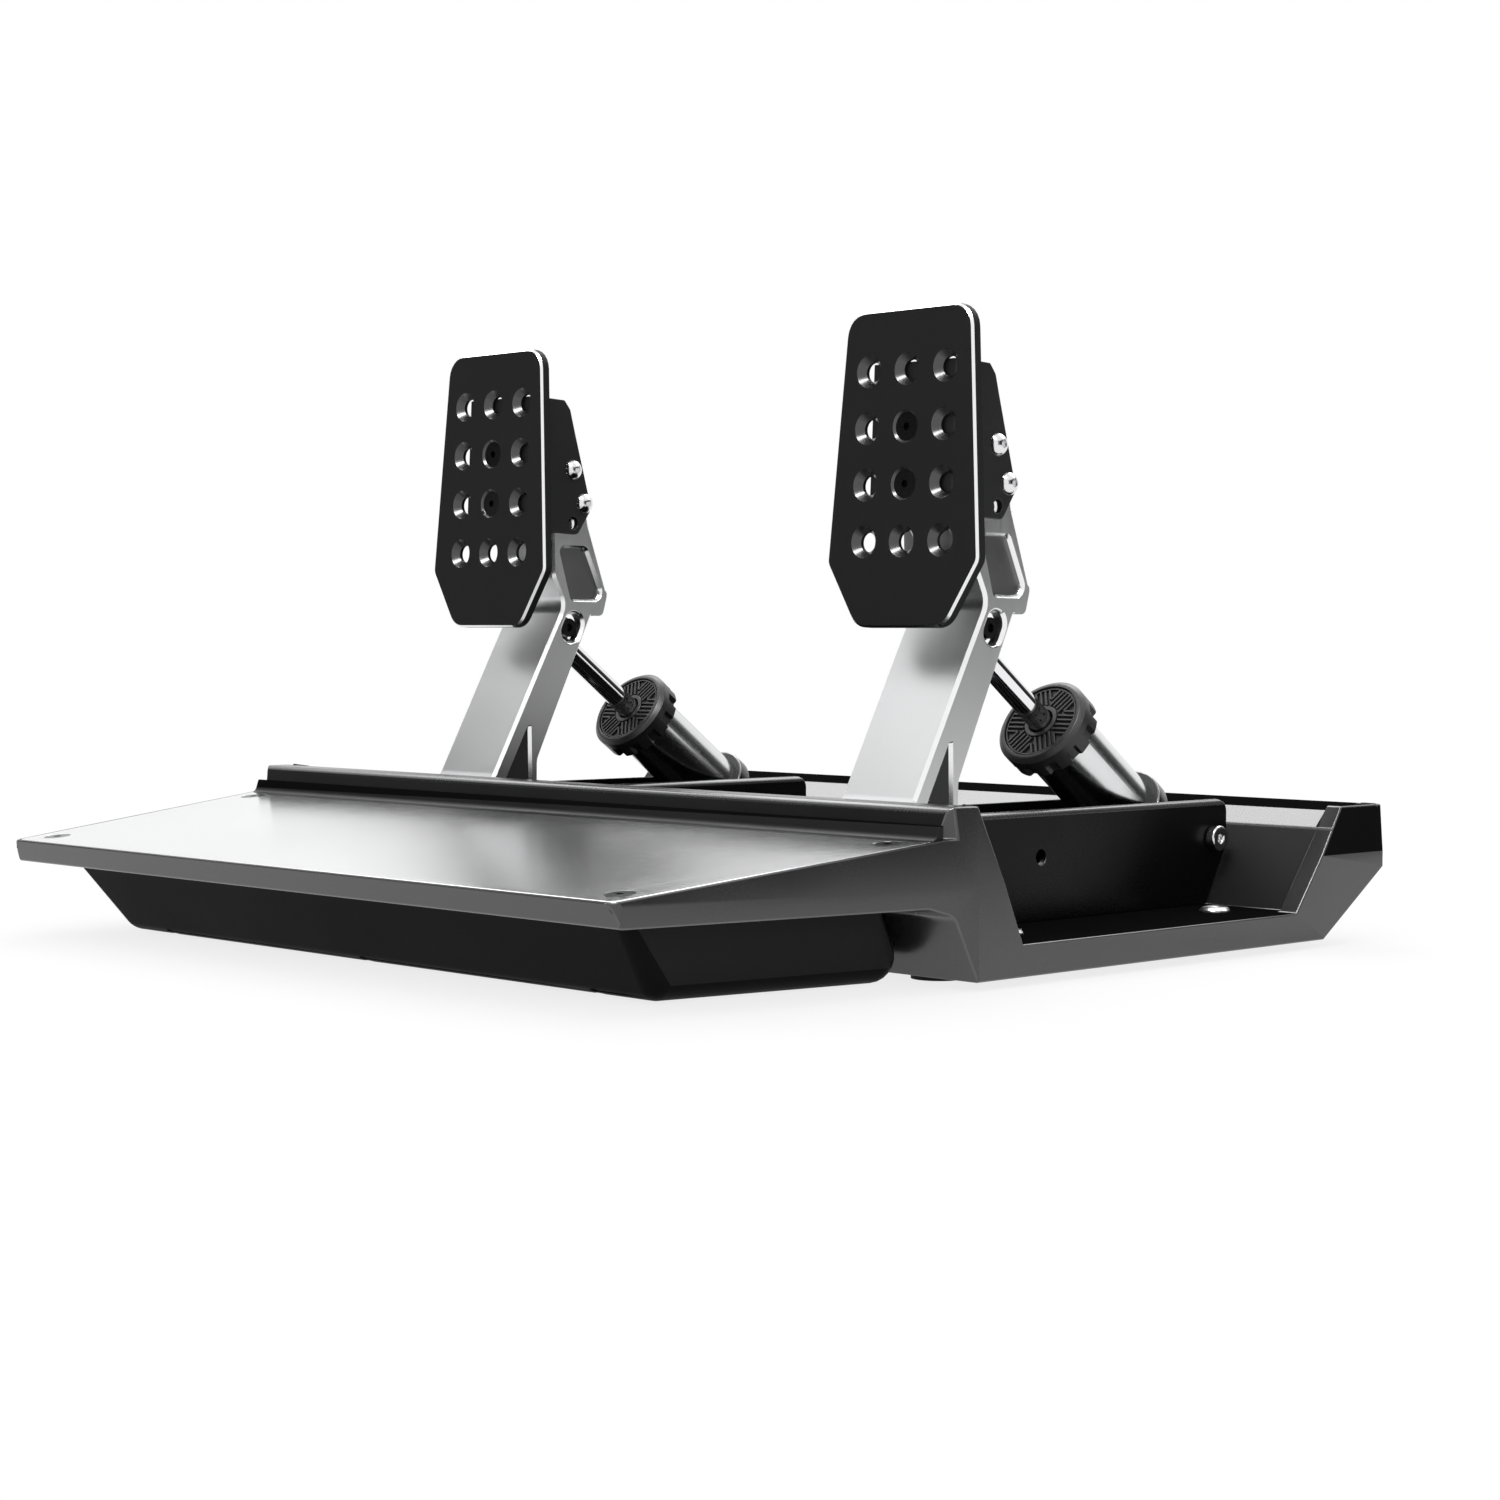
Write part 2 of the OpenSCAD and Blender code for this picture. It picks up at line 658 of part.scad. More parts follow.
module base_frame() {
    color(moulding)
        difference() {
            intersection() {
                union() {
                    side_slab(base_w) frame_outline();
                    for (m = [0, 1])
                        mirror([m, 0, 0])
                            translate([base_w / 2 - cheek_w / 2, 0, 0])
                                side_slab(cheek_w) cheek_outline();
                }
                linear_extrude(ridge_z + over)
                    base_plan(0, y_front, y_rear);
            }
            lean_cuts();
            // Ridge and deck, open below
            difference() {
                intersection() {
                    side_slab(base_w) deck_hollow_outline();
                    translate([0, 0, -over])
                        linear_extrude(ridge_z + over)
                            base_plan(side_wall, y_front, y_rear);
                }
                deck_keep();
            }
            // Rear compartment
            difference() {
                side_slab(base_w - 2 * side_wall) wedge_hollow_outline();
                for (s = cover_screw_share)
                    at_cover_screw(s)
                        translate([0, 0, -base_d / 4])
                            cylinder(d = cover_boss_d, h = base_d / 4 - cover_t);
                for (bx = board_screw_x)
                    translate([bx, y_board, board_z])
                        rotate([90, 0, 0])
                            cylinder(d = m3 * 2, h = rear_d);
            }
            // Opening below the heel plate
            difference() {
                translate([0, 0, band_z - over])
                    linear_extrude(ridge_z)
                        base_plan(rim_t, y_front + rim_t, y_ridge - rim_t / 2);
                heel_keep();
                translate([-base_w / 2, y_ridge - rim_t / 2, 0])
                    cube([base_w, base_d, ridge_z + over]);
            }
            // Seat of the heel plate
            intersection() {
                side_slab(base_w)
                    polygon([[y_front, rim_z - heel_t], [y_front, ridge_z + over],
                        [y_ridge, ridge_z + over], [y_ridge, heel_z - heel_t]]);
                linear_extrude(ridge_z + 2 * over)
                    base_plan(heel_lip, y_front + heel_lip, y_rear);
                translate([-base_w / 2, y_front, 0])
                    cube([base_w, heel_d, ridge_z + over]);
            }
            for (p = heel_screws)
                at_heel_screw(p)
                    flat_screw_hole(m5, heel_screw_l, m5 * 2);
            for (p = heel_posts)
                translate([p[0], p[1], 0])
                    cylinder(d = m4 + 2 * screw_gap, h = band_z + tub_screw_grip);
            for (p = rig_holes)
                translate([p[0], p[1], 0])
                    cylinder(d = rig_hole_d, h = deck_z + over);
            for (p = bracket_bolts_at)
                translate([p[0], p[1], frame_z + 2 * over])
                    cylinder(d = m6 + 2 * screw_gap, h = deck_z);
            for (p = deck_feet)
                translate([p[0], p[1], 0])
                    cylinder(d = foot_d + 2 * screw_gap, h = frame_z + foot_seat);
            for (s = cover_screw_share)
                at_cover_screw(s)
                    translate([0, 0, -cover_screw_l])
                        cylinder(d = m3 + 2 * screw_gap, h = cover_screw_l);
            for (bx = board_screw_x)
                translate([bx, y_board + over, board_z])
                    rotate([90, 0, 0])
                        cylinder(d = m3 + 2 * screw_gap, h = board_screw_l);
            // Mouths for the sockets in the rear face
            for (s = [-1, 1])
                translate([board_x - usb_dx + s * jack_dx / 2 - jack_w / 2 - socket_gap, y_rear - wall - over,
                        board_z - jack_h / 2 - socket_gap])
                    cube([jack_w + 2 * socket_gap, wall + 2 * over, jack_h + 2 * socket_gap]);
            translate([board_x + usb_dx - usb_w / 2 - socket_gap, y_rear - wall - over,
                    board_z - usb_h / 2 - socket_gap])
                cube([usb_w + 2 * socket_gap, wall + 2 * over, usb_h + 2 * socket_gap]);
        }
}

// Tapered tub below the heel plate
module tub_solid(in, z0, z1, r) {
    y0 = y_front + tub_front_in + in;
    y1 = y_foot - tub_rear_top - in;
    y2 = y_foot - tub_rear_low - in - r;
    y3 = y_front + tub_front_in + tub_slope * tub_front_share;
    low = tub_in + tub_slope;
    top_r = front_r;
    hull() {
        for (sx = [-1, 1]) {
            translate([sx * (half_at(y0) - tub_in - in - top_r), y0 + top_r, z1 - over])
                cylinder(r = top_r, h = over, $fn = 40);
            translate([sx * (half_at(y1) - tub_in - in - over), y1 - over, z1 - over])
                cylinder(r = over, h = over, $fn = 16);
            translate([sx * (half_at(y3) - low), y3, z0 + r])
                sphere(r = r, $fn = 40);
            translate([sx * (half_at(y2) - low), y2, z0 + r])
                sphere(r = r, $fn = 24);
        }
    }
}

module lower_tub() {
    color(tub_black)
        difference() {
            union() {
                difference() {
                    tub_solid(0, tub_z, band_z, tub_r);
                    tub_solid(tub_wall, tub_z + tub_wall, band_z + over, tub_r - tub_wall);
                }
                for (p = heel_posts)
                    translate([p[0], p[1], tub_z + tub_wall / 2])
                        cylinder(d = post_d, h = band_z - tub_z - tub_wall / 2);
            }
            for (p = heel_posts) {
                translate([p[0], p[1], 0])
                    cylinder(d = m4 + 2 * screw_gap, h = band_z + over);
                translate([p[0], p[1], 0])
                    cylinder(d = m4 * head_ratio_share + 4 * screw_gap, h = tub_z + tub_head_deep);
            }
            for (p = tub_feet)
                translate([p[0], p[1], 0])
                    cylinder(d = foot_d + 2 * screw_gap, h = tub_z + foot_seat);
        }
}

module heel_plate() {
    bend_y = y_ridge - socket_gap - heel_t * 1.6;
    color(heel_grey)
        difference() {
            intersection() {
                side_slab(base_w)
                    polygon(rounded([
                        [y_front, rim_z, 0], [y_front, rim_z - heel_t, 0],
                        [y_ridge - socket_gap, heel_z - heel_t, edge_r],
                        [y_ridge - socket_gap, heel_z + heel_tip, 0],
                        [y_ridge - socket_gap - heel_t * 0.7, heel_z + heel_tip, 0],
                        [bend_y, heel_at(bend_y), wide_r]]));
                linear_extrude(ridge_z + over)
                    base_plan(heel_lip + socket_gap, y_front + heel_lip + socket_gap, y_rear);
            }
            for (p = heel_screws)
                at_heel_screw(p)
                    flat_screw_hole(m5, heel_t + 2 * over, m5 * 2);
            translate([-base_w / 2, y_front - over, 0])
                cube([base_w, over + heel_lip, ridge_z]);
        }
}

module heel_plate_screws() {
    color(steel)
        for (p = heel_screws)
            at_heel_screw(p)
                flat_screw(m5, heel_screw_l - 2 * over, m5 * 2);
}

module tub_screws() {
    color(steel)
        for (p = heel_posts)
            translate([p[0], p[1], tub_z + tub_head_deep])
                rotate([180, 0, 0])
                    button_screw(m4, band_z - tub_z - tub_head_deep + tub_screw_grip - over);
}

module rubber_feet() {
    color(rubber) {
        for (p = tub_feet)
            translate([p[0], p[1], 0])
                cylinder(d = foot_d, h = foot_t);
        for (p = deck_feet)
            translate([p[0], p[1], 0])
                cylinder(d = foot_d, h = frame_z + foot_seat);
    }
}

module rear_cover() {
    color(tub_black)
        difference() {
            side_slab(base_w - 2 * side_wall - 2 * socket_gap)
                polygon([facet(cover_in + socket_gap, 0), facet(cover_in + socket_gap, cover_t),
                    facet(facet_l - cover_in - socket_gap, cover_t),
                    facet(facet_l - cover_in - socket_gap, 0)]);
            for (s = cover_screw_share)
                at_cover_screw(s)
                    translate([0, 0, -cover_t - over])
                        cylinder(d = m3 + 2 * screw_gap, h = cover_t + 2 * over);
        }
}

module rear_cover_screws() {
    color(steel)
        for (s = cover_screw_share)
            at_cover_screw(s)
                button_screw(m3, cover_screw_l - over);
}

module circuit_board() {
    color(board_green)
        difference() {
            translate([board_x - board_w / 2, y_board, board_z - board_h / 2])
                cube([board_w, board_t, board_h]);
            for (bx = board_screw_x)
                translate([bx, y_rear - wall, board_z])
                    rotate([90, 0, 0])
                        cylinder(d = m3 + 2 * screw_gap, h = board_back + over);
        }
}

module board_screws() {
    color(steel)
        for (bx = board_screw_x)
            translate([bx, y_board + board_t, board_z])
                rotate([-90, 0, 0])
                    button_screw(m3, board_screw_l);
}

module pedal_sockets() {
    color(rubber)
        for (s = [-1, 1])
            translate([board_x - usb_dx + s * jack_dx / 2, y_rear, board_z])
                difference() {
                    translate([-jack_w / 2, board_t - wall - board_back, -jack_h / 2])
                        cube([jack_w, board_back + wall - board_t, jack_h]);
                    translate([-jack_mouth_w / 2, -jack_deep, -jack_mouth_h / 2])
                        cube([jack_mouth_w, jack_deep + over, jack_mouth_h]);
                }
}

module usb_socket() {
    color(steel)
        translate([board_x + usb_dx, y_rear, board_z])
            difference() {
                translate([-usb_w / 2, board_t - wall - board_back, -usb_h / 2])
                    cube([usb_w, board_back + wall - board_t - over / 2, usb_h]);
                translate([-usb_w / 2 + usb_t, -usb_l, -usb_h / 2 + usb_t])
                    cube([usb_w - 2 * usb_t, usb_l + over, usb_h - 2 * usb_t]);
            }
}

// Steel bracket of one pedal
module pedal_bracket(x) {
    low_cut = [y_tail - bracket_tail_cut, y_tail];
    color(sheet_black)
        translate([x, 0, 0])
            difference() {
                intersection() {
                    end_slab(y_bracket, y_tail)
                        polygon(rounded([
                            [bracket_out, deck_z, edge_r], [bracket_out, bracket_top, bracket_edge_r],
                            [bracket_in / 2, bracket_top, 0],
                            [bracket_in / 2, deck_z + bracket_floor_t, edge_r],
                            [-bracket_in / 2, deck_z + bracket_floor_t, edge_r],
                            [-bracket_in / 2, bracket_top, 0],
                            [-bracket_out, bracket_top, bracket_edge_r], [-bracket_out, deck_z, edge_r]]));
                    side_slab(2 * bracket_out + 2 * over)
                        polygon(rounded([
                            [y_bracket, deck_z, soft_r], [low_cut[0], deck_z, soft_r],
                            [low_cut[1], deck_z + bracket_tail_h, wide_r],
                            [y_tail, bracket_top, bracket_tail_r],
                            [y_bracket, bracket_top, bracket_nose_r]]));
                }
                translate([0, pivot_y, pivot_z])
                    x_bar(bush_d, 2 * bracket_out + over);
                translate([0, y_bracket + side_hole_y, deck_z + side_hole_h])
                    x_bar(side_hole_d, 2 * bracket_out + over);
                translate([0, foot_bolt_y, foot_bolt_z])
                    x_bar(m6 + 2 * screw_gap, 2 * bracket_out + over);
                for (sx = [-1, 1], y = bolt_rows)
                    translate([sx * bolt_half, y_bracket + y, 0])
                        cylinder(d = m6 + 2 * screw_gap, h = deck_z + bracket_floor_t + over);
            }
}

module bracket_bolts() {
    color(steel)
        for (p = bracket_bolts_at)
            translate([p[0], p[1], deck_z + bracket_floor_t])
                button_screw(m6, bracket_floor_t + deck_z - frame_z - 3 * over);
}

module pivot_bushes() {
    color(bronze)
        for (px = [brake_x, throttle_x], m = [0, 1])
            translate([px, pivot_y, pivot_z])
                mirror([m, 0, 0])
                    rotate([0, 90, 0])
                        difference() {
                            union() {
                                translate([0, 0, bracket_in / 2])
                                    cylinder(d = bush_d, h = bracket_t);
                                translate([0, 0, bracket_in / 2 - bush_flange_t])
                                    cylinder(d = bush_flange_d, h = bush_flange_t);
                            }
                            translate([0, 0, bracket_in / 2 - over])
                                cylinder(d = shaft_d + 2 * fit, h = bracket_t + 2 * over);
                        }
}

module foot_bolts() {
    color(silver)
        for (px = [brake_x, throttle_x])
            translate([px, foot_bolt_y, foot_bolt_z]) {
                translate([bracket_out, 0, 0])
                    rotate([0, 90, 0])
                        cap_screw(m6, m6 * 0.7, 2 * bracket_out + m6 * nut_h_share + over);
                translate([-bracket_out, 0, 0])
                    rotate([0, -90, 0])
                        difference() {
                            cylinder(d = m6 * nut_share, h = m6 * nut_h_share, $fn = 6);
                            translate([0, 0, -over])
                                cylinder(d = m6 + 2 * screw_gap, h = m6 + 2 * over);
                        }
            }
}

// Angle sensor on the far side of each pivot
module sensor_housings() {
    color(rubber)
        for (px = [brake_x, throttle_x])
            translate([px - bracket_out, pivot_y, pivot_z])
                rotate([0, -90, 0])
                    difference() {
                        translate([-sensor_h / 2, -sensor_w / 2, 0])
                            cube([sensor_h, sensor_w, sensor_t]);
                        translate([0, 0, -over])
                            cylinder(d = bush_d + 2 * sensor_wall, h = sensor_t - sensor_wall + over);
                    }
}

module pivot_shaft(x) {
    far = bracket_out + magnet_t + over / 2;
    near = bracket_out + gap;
    color(steel)
        translate([x, pivot_y, pivot_z])
            rotate([0, 90, 0])
                difference() {
                    translate([0, 0, -far])
                        cylinder(d = shaft_d, h = far + near);
                    translate([0, 0, -far - over])
                        cylinder(d = magnet_d, h = magnet_t + over);
                    translate([0, 0, near - m5 * 2])
                        cylinder(d = m4 + 2 * screw_gap, h = m5 * 3);
                }
}

module shaft_screw(x) {
    near = bracket_out + gap;
    color(steel)
        translate([x + near, pivot_y, pivot_z])
            rotate([0, 90, 0]) {
                difference() {
                    cylinder(d = washer_d, h = washer_t);
                    translate([0, 0, -over])
                        cylinder(d = m4 + 2 * screw_gap, h = washer_t + 2 * over);
                }
                translate([0, 0, washer_t])
                    button_screw(m4, shaft_screw_l);
            }
}

module shaft_magnet(x) {
    far = bracket_out + magnet_t + over / 2;
    color(silver)
        translate([x - far, pivot_y, pivot_z])
            rotate([0, 90, 0])
                cylinder(d = magnet_d, h = magnet_t);
}

// Aluminium arm: a channel with a pocketed head
module arm_shape(pts) {
    translate([pivot_y, pivot_z])
        polygon(rounded(scaled(pts, arm_h)));
}

module arm_channel_outline() {
    cut = [for (i = [1 : 3]) arm_outline_share[i] * arm_h];
    eye = [pin_y - pivot_y, pin_z - pivot_z];
    eye_room = rod_eye_r + eye_clear;
    back = base_d;
    difference() {
        translate([pivot_y, pivot_z])
            polygon([[cut[0][0] + 2 * web_t, channel_low_share * arm_h],
                [cut[1][0] + 1.45 * web_t, cut[1][1]], [cut[2][0] + 0.9 * web_t, cut[2][1]],
                eye + eye_room * [-cos(shank_lean), sin(shank_lean)], [eye[0], eye[1] + eye_room],
                [back, eye[1] + eye_room], [back, channel_low_share * arm_h]]);
        translate([pivot_y, pivot_z])
            circle(r = hub_r);
    }
    translate([pin_y, pin_z])
        circle(r = eye_room);
}

module at_angle_hole() {
    translate([0, pivot_y + angle_hole_share[0] * arm_h, pivot_z + angle_hole_share[1] * arm_h])
        children();
}

module at_angle_screws() {
    for (p = angle_screw_share)
        translate([0, pivot_y + p[0] * arm_h, pivot_z + p[1] * arm_h])
            children();
}

module pedal_arm(x) {
    hub_half = bracket_in / 2 - bush_flange_t - hub_gap;
    color(silver)
        translate([x, 0, 0])
            difference() {
                union() {
                    side_slab(arm_w) arm_shape(arm_outline_share);
                    translate([0, pivot_y, pivot_z])
                        x_bar(2 * hub_r, 2 * hub_half);
                }
                for (sx = [-1, 1])
                    translate([sx * arm_w / 2, pivot_y, pivot_z])
                        x_bar(bush_flange_d + 2 * hub_r, 2 * (arm_w / 2 - hub_half));
                side_slab(arm_w - 2 * arm_side_t) arm_channel_outline();
                for (sx = [-1, 1])
                    translate([sx * (arm_w / 2 - pocket_deep / 2 + over / 2), 0, 0])
                        side_slab(pocket_deep + over) arm_shape(pocket_share);
                // Window for the rod pin
                translate([0, pin_y, pin_z])
                    rotate([-shank_lean, 0, 0]) {
                        cube([arm_w + over, window_w, window_l - window_w], center = true);
                        for (s = [-1, 1])
                            translate([0, 0, s * (window_l - window_w) / 2])
                                x_bar(window_w, arm_w + over);
                    }
                for (sx = [-1, 1])
                    translate([sx * (arm_w / 2 - inlay_deep / 2 + over / 2), 0, 0])
                        side_slab(inlay_deep + over) arm_shape(inlay_share);
                translate([0, pivot_y, pivot_z])
                    x_bar(shaft_d, arm_w + over);
                for (sx = [-1, 1])
                    at_angle_screws()
                        translate([sx * arm_w / 2, 0, 0])
                            x_bar(m5 + 2 * screw_gap, 2 * angle_screw_l);
                at_angle_hole()
                    x_bar(m5, arm_w + over);
            }
}

module arm_inlays(x) {
    color(rubber)
        for (sx = [-1, 1])
            translate([x + sx * (arm_w / 2 - inlay_deep + inlay_t / 2), 0, 0])
                side_slab(inlay_t) arm_shape(inlay_share);
}

// Pedal plate and its bracket, in the plate's own frame
module at_plate(x) {
    translate([x, plate_y, plate_z])
        rotate([-plate_lean, 0, 0])
            children();
}

module plate_outline() {
    top = plate_up_share * plate_h;
    low = top - plate_h;
    wide = low + plate_wide_share * plate_h;
    half = [[plate_low_w / 2, low, plate_tip_r], [plate_w / 2, wide, plate_low_r],
        [plate_top_w / 2, top, plate_top_r]];
    polygon(rounded(concat(half, mirrored(half))));
}

module pedal_plate(x) {
    color(sheet_black)
        at_plate(x)
            difference() {
                end_slab(0, plate_t) plate_outline();
                for (c = hole_cols, r = hole_rows)
                    translate([c * hole_dx, 0, r * hole_dz])
                        rotate([-90, 0, 0]) {
                            translate([0, 0, -over])
                                cylinder(d = hole_d, h = plate_t + 2 * over);
                            cylinder(d1 = dish_d, d2 = hole_d, h = dish_t);
                        }
            }
}

module plate_bracket(x) {
    w = 2 * pb_in + 2 * pb_t;
    color(sheet_black)
        at_plate(x)
            difference() {
                intersection() {
                    translate([0, 0, -plate_h])
                        linear_extrude(2 * plate_h)
                            polygon(rounded([
                                [w / 2, plate_t + pb_depth_wide, 0], [w / 2, plate_t, round_r],
                                [-w / 2, plate_t, round_r], [-w / 2, plate_t + pb_depth_wide, 0],
                                [-pb_in, plate_t + pb_depth_wide, 0], [-pb_in, plate_t + pb_t, 0],
                                [pb_in, plate_t + pb_t, 0], [pb_in, plate_t + pb_depth_wide, 0]]));
                    side_slab(w + over)
                        polygon(rounded([
                            [plate_t, pb_up, edge_r], [plate_t, -pb_low, edge_r],
                            [plate_t + pb_depth_low, -pb_low, wide_r],
                            [plate_t + pb_depth_wide, -pb_wide_h, bend_r],
                            [plate_t + pb_depth_step, pb_up - pb_step_h, wide_r],
                            [plate_t + pb_depth_top, pb_up, soft_r]]));
                }
                for (r = [-0.5, 0.5])
                    translate([0, 0, r * hole_dz])
                        rotate([-90, 0, 0])
                            cylinder(d = m5 + 2 * screw_gap, h = plate_t + 2 * pb_t);
                rotate([plate_lean, 0, 0])
                    translate([0, -plate_y, -plate_z]) {
                        at_angle_screws()
                            x_bar(m5 + 2 * screw_gap, w + over);
                        at_angle_hole()
                            x_bar(m5, w + over);
                    }
            }
}

module angle_screws(x) {
    color(silver)
        for (m = [0, 1])
            translate([x, 0, 0])
                mirror([m, 0, 0])
                    at_angle_screws()
                        translate([pb_in + pb_t, 0, 0])
                            rotate([0, 90, 0])
                                button_screw(m5, pb_t + angle_screw_l - over);
}

module plate_screws(x) {
    color(steel)
        at_plate(x)
            for (r = [-0.5, 0.5])
                translate([0, plate_screw_sink, r * hole_dz])
                    rotate([90, 0, 0])
                        flat_screw(m5, plate_t + pb_t + m5 * nut_h_share - plate_screw_sink, m5 * 2);
}

module plate_nuts(x) {
    color(steel)
        at_plate(x)
            for (r = [-0.5, 0.5])
                translate([0, plate_t + pb_t, r * hole_dz])
                    rotate([-90, 0, 0])
                        difference() {
                            cylinder(d = m5 * nut_share, h = m5 * nut_h_share, $fn = 6);
                            translate([0, 0, -over])
                                cylinder(d = m5 + 2 * screw_gap, h = m5 + 2 * over);
                        }
}

// Damper strut, drawn upright over its foot pin and tilted to the rod pin
module at_damper(x) {
    translate([x, foot_y, foot_z])
        rotate([damper_tilt, 0, 0])
            children();
}

module damper_rod(x) {
    low = cyl_top - 2 * gap - piston_t / 2;
    color(steel)
        at_damper(x)
            difference() {
                union() {
                    translate([0, 0, low])
                        cylinder(d = rod_d, h = damper_l - low - rod_eye_r / 2);
                    translate([0, 0, damper_l])
                        x_bar(2 * rod_eye_r, rod_eye_w);
                }
                translate([0, 0, damper_l])
                    x_bar(rod_pin_d + 2 * fit, rod_eye_w + over);
            }
}

module rod_pin(x) {
    color(steel)
        translate([x, pin_y, pin_z]) {
            x_bar(rod_pin_d, 2 * pin_half - 2 * pin_head_t);
            for (s = [-1, 1])
                translate([s * (pin_half - pin_head_t / 2), 0, 0])
                    difference() {
                        x_bar(pin_head_d, pin_head_t);
                        translate([s * pin_head_t / 2, 0, 0])
                            rotate([0, 90, 0])
                                cylinder(d = rod_pin_d * hex_share, h = pin_head_t, center = true, $fn = 6);
                    }
        }
}

module rod_spacers(x) {
    l = arm_w / 2 - arm_side_t - rod_eye_w / 2 - gap;
    color(steel)
        translate([x, pin_y, pin_z])
            for (s = [-1, 1])
                translate([s * (rod_eye_w / 2 + l / 2), 0, 0])
                    difference() {
                        x_bar(spacer_d, l);
                        x_bar(rod_pin_d + 2 * fit, l + over);
                    }
}

module damper_piston(x) {
    color(bronze)
        at_damper(x)
            translate([0, 0, cyl_top - 2 * gap - piston_t])
                difference() {
                    cylinder(d = bore_d - 2 * fit, h = piston_t);
                    translate([0, 0, piston_t / 2])
                        cylinder(d = rod_d, h = piston_t);
                }
}

module damper_cap(x) {
    low = cap_top - cap_l;
    color(rubber)
        at_damper(x)
            difference() {
                translate([0, 0, low])
                    cylinder(d = cap_d, h = cap_l);
                translate([0, 0, low - over])
                    cylinder(d = cyl_d, h = cyl_top - low + over);
                translate([0, 0, low])
                    cylinder(d = rod_d + 2 * fit, h = cap_l + over);
                for (i = [0 : notch_n - 1])
                    rotate([0, 0, (i + 0.5) * 360 / notch_n])
                        translate([cap_d / 2 + notch_d * 0.2, 0, low - over])
                            cylinder(d = notch_d, h = cap_l * notch_share + over, $fn = 24);
            }
}

module damper_cylinder(x) {
    color(silver)
        at_damper(x)
            translate([0, 0, cyl_low])
                difference() {
                    cylinder(d = cyl_d, h = cyl_l);
                    translate([0, 0, -over])
                        cylinder(d = bore_d, h = cyl_l + 2 * over);
                }
}

module damper_eye(x) {
    color(silver)
        at_damper(x)
            difference() {
                union() {
                    translate([0, 0, collar_up])
                        cylinder(d = cap_d, h = collar_l);
                    intersection() {
                        cylinder(d = neck_d, h = collar_up + over);
                        cube([eye_w, neck_d, 2 * collar_up + 2 * over], center = true);
                    }
                    x_bar(2 * eye_r, eye_w);
                }
                x_bar(foot_pin_d + 2 * fit, eye_w + over);
            }
}

// Throttle spring: one wire wound between the eye and the piston, its ends lying flat
spring_low = cyl_low + wire_d / 2 + spring_gap;
spring_high = cyl_top - 2 * gap - piston_t - wire_d / 2 - spring_gap;
spring_r = bore_d / 2 - wire_d / 2 - spring_side_gap;
ring_n = 8;
wire_sides = 6;
function spring_rise(t) =
    t < dead_turns ? 0
    : (t > spring_turns - dead_turns ? 1 : (t - dead_turns) / (spring_turns - 2 * dead_turns));
function coil_at(t) = [spring_r * cos(360 * t), spring_r * sin(360 * t),
    spring_low + (wire_d / 2 + dead_step) * min(1, t)
    + (spring_high - spring_low - wire_d - 2 * dead_step) * spring_rise(t)
    + (wire_d / 2 + dead_step) * max(0, t - spring_turns + 1)];
function coil_points() = [for (i = [0 : spring_turns * ring_n])
    let (t = i / ring_n, c = coil_at(t), out = [cos(360 * t), sin(360 * t), 0])
    for (k = [0 : wire_sides - 1])
        let (a = 360 * k / wire_sides)
        c + wire_d / 2 * (cos(a) * out + sin(a) * [0, 0, 1])];
function coil_faces(n) = concat(
    [for (i = [0 : n - 1], k = [0 : wire_sides - 1])
        let (a = i * wire_sides + k, b = i * wire_sides + (k + 1) % wire_sides)
        each [[a, a + wire_sides, b], [b, a + wire_sides, b + wire_sides]]],
    [for (k = [1 : wire_sides - 2]) [0, k, k + 1]],
    [for (k = [1 : wire_sides - 2]) let (e = n * wire_sides) [e, e + k + 1, e + k]]);
coil_rise = min([for (i = [0 : (spring_turns - 1) * ring_n])
    norm(coil_at(i / ring_n + 1) - coil_at(i / ring_n))]) - wire_d;
echo(least_gap_in_spring = coil_rise);

module throttle_spring() {
    color(steel)
        at_damper(throttle_x)
            polyhedron(coil_points(), coil_faces(spring_turns * ring_n), convexity = 10);
}

// Brake stack: rubber discs between the eye and the piston
module brake_elastomers() {
    room = cyl_l - 2 * gap - piston_t;
    each_l = room / disc_n;
    color([0.35, 0.07, 0.06])
        at_damper(brake_x)
            for (i = [0 : disc_n - 1])
                translate([0, 0, cyl_low + i * each_l + spring_gap / 2])
                    cylinder(d = disc_d, h = each_l - spring_gap);
}

// Block that ties the damper's foot pin to the bracket
module foot_block(x, tint) {
    half = bracket_in / 2 - block_side_gap;
    low = deck_z + bracket_floor_t;
    ear = eye_w / 2 + ear_gap;
    color(tint)
        translate([x, 0, 0])
            difference() {
                side_slab(2 * half)
                    polygon(rounded([
                        [foot_y - block_fore, low, 0], [y_tail - bracket_tail_cut - 2 * wall, low, 0],
                        [foot_bolt_y + pillar_back, foot_bolt_z - 2 * wall, soft_r],
                        [foot_bolt_y + pillar_back, foot_bolt_z + m6, bend_r],
                        [foot_y - block_fore, foot_bolt_z + m6, full_r]]));
                // Gap for the eye
                translate([-ear, foot_y - 2 * block_fore, low + block_floor])
                    cube([2 * ear, 2 * block_fore + eye_r + ear_gap + over / 2, bracket_h]);
                // Sides cut away so that the end collar stays clear
                for (s = [-1, 1])
                    translate([s * (ear + ear_t + half) - half, foot_y - 2 * block_fore, low + block_floor])
                        cube([2 * half, 2 * block_fore + eye_r + ear_gap + over / 2, bracket_h]);
                translate([0, foot_y, foot_z])
                    x_bar(foot_pin_d, 2 * half + over);
                translate([0, foot_bolt_y, foot_bolt_z])
                    x_bar(m6 + 2 * screw_gap, 2 * half + over);
            }
}

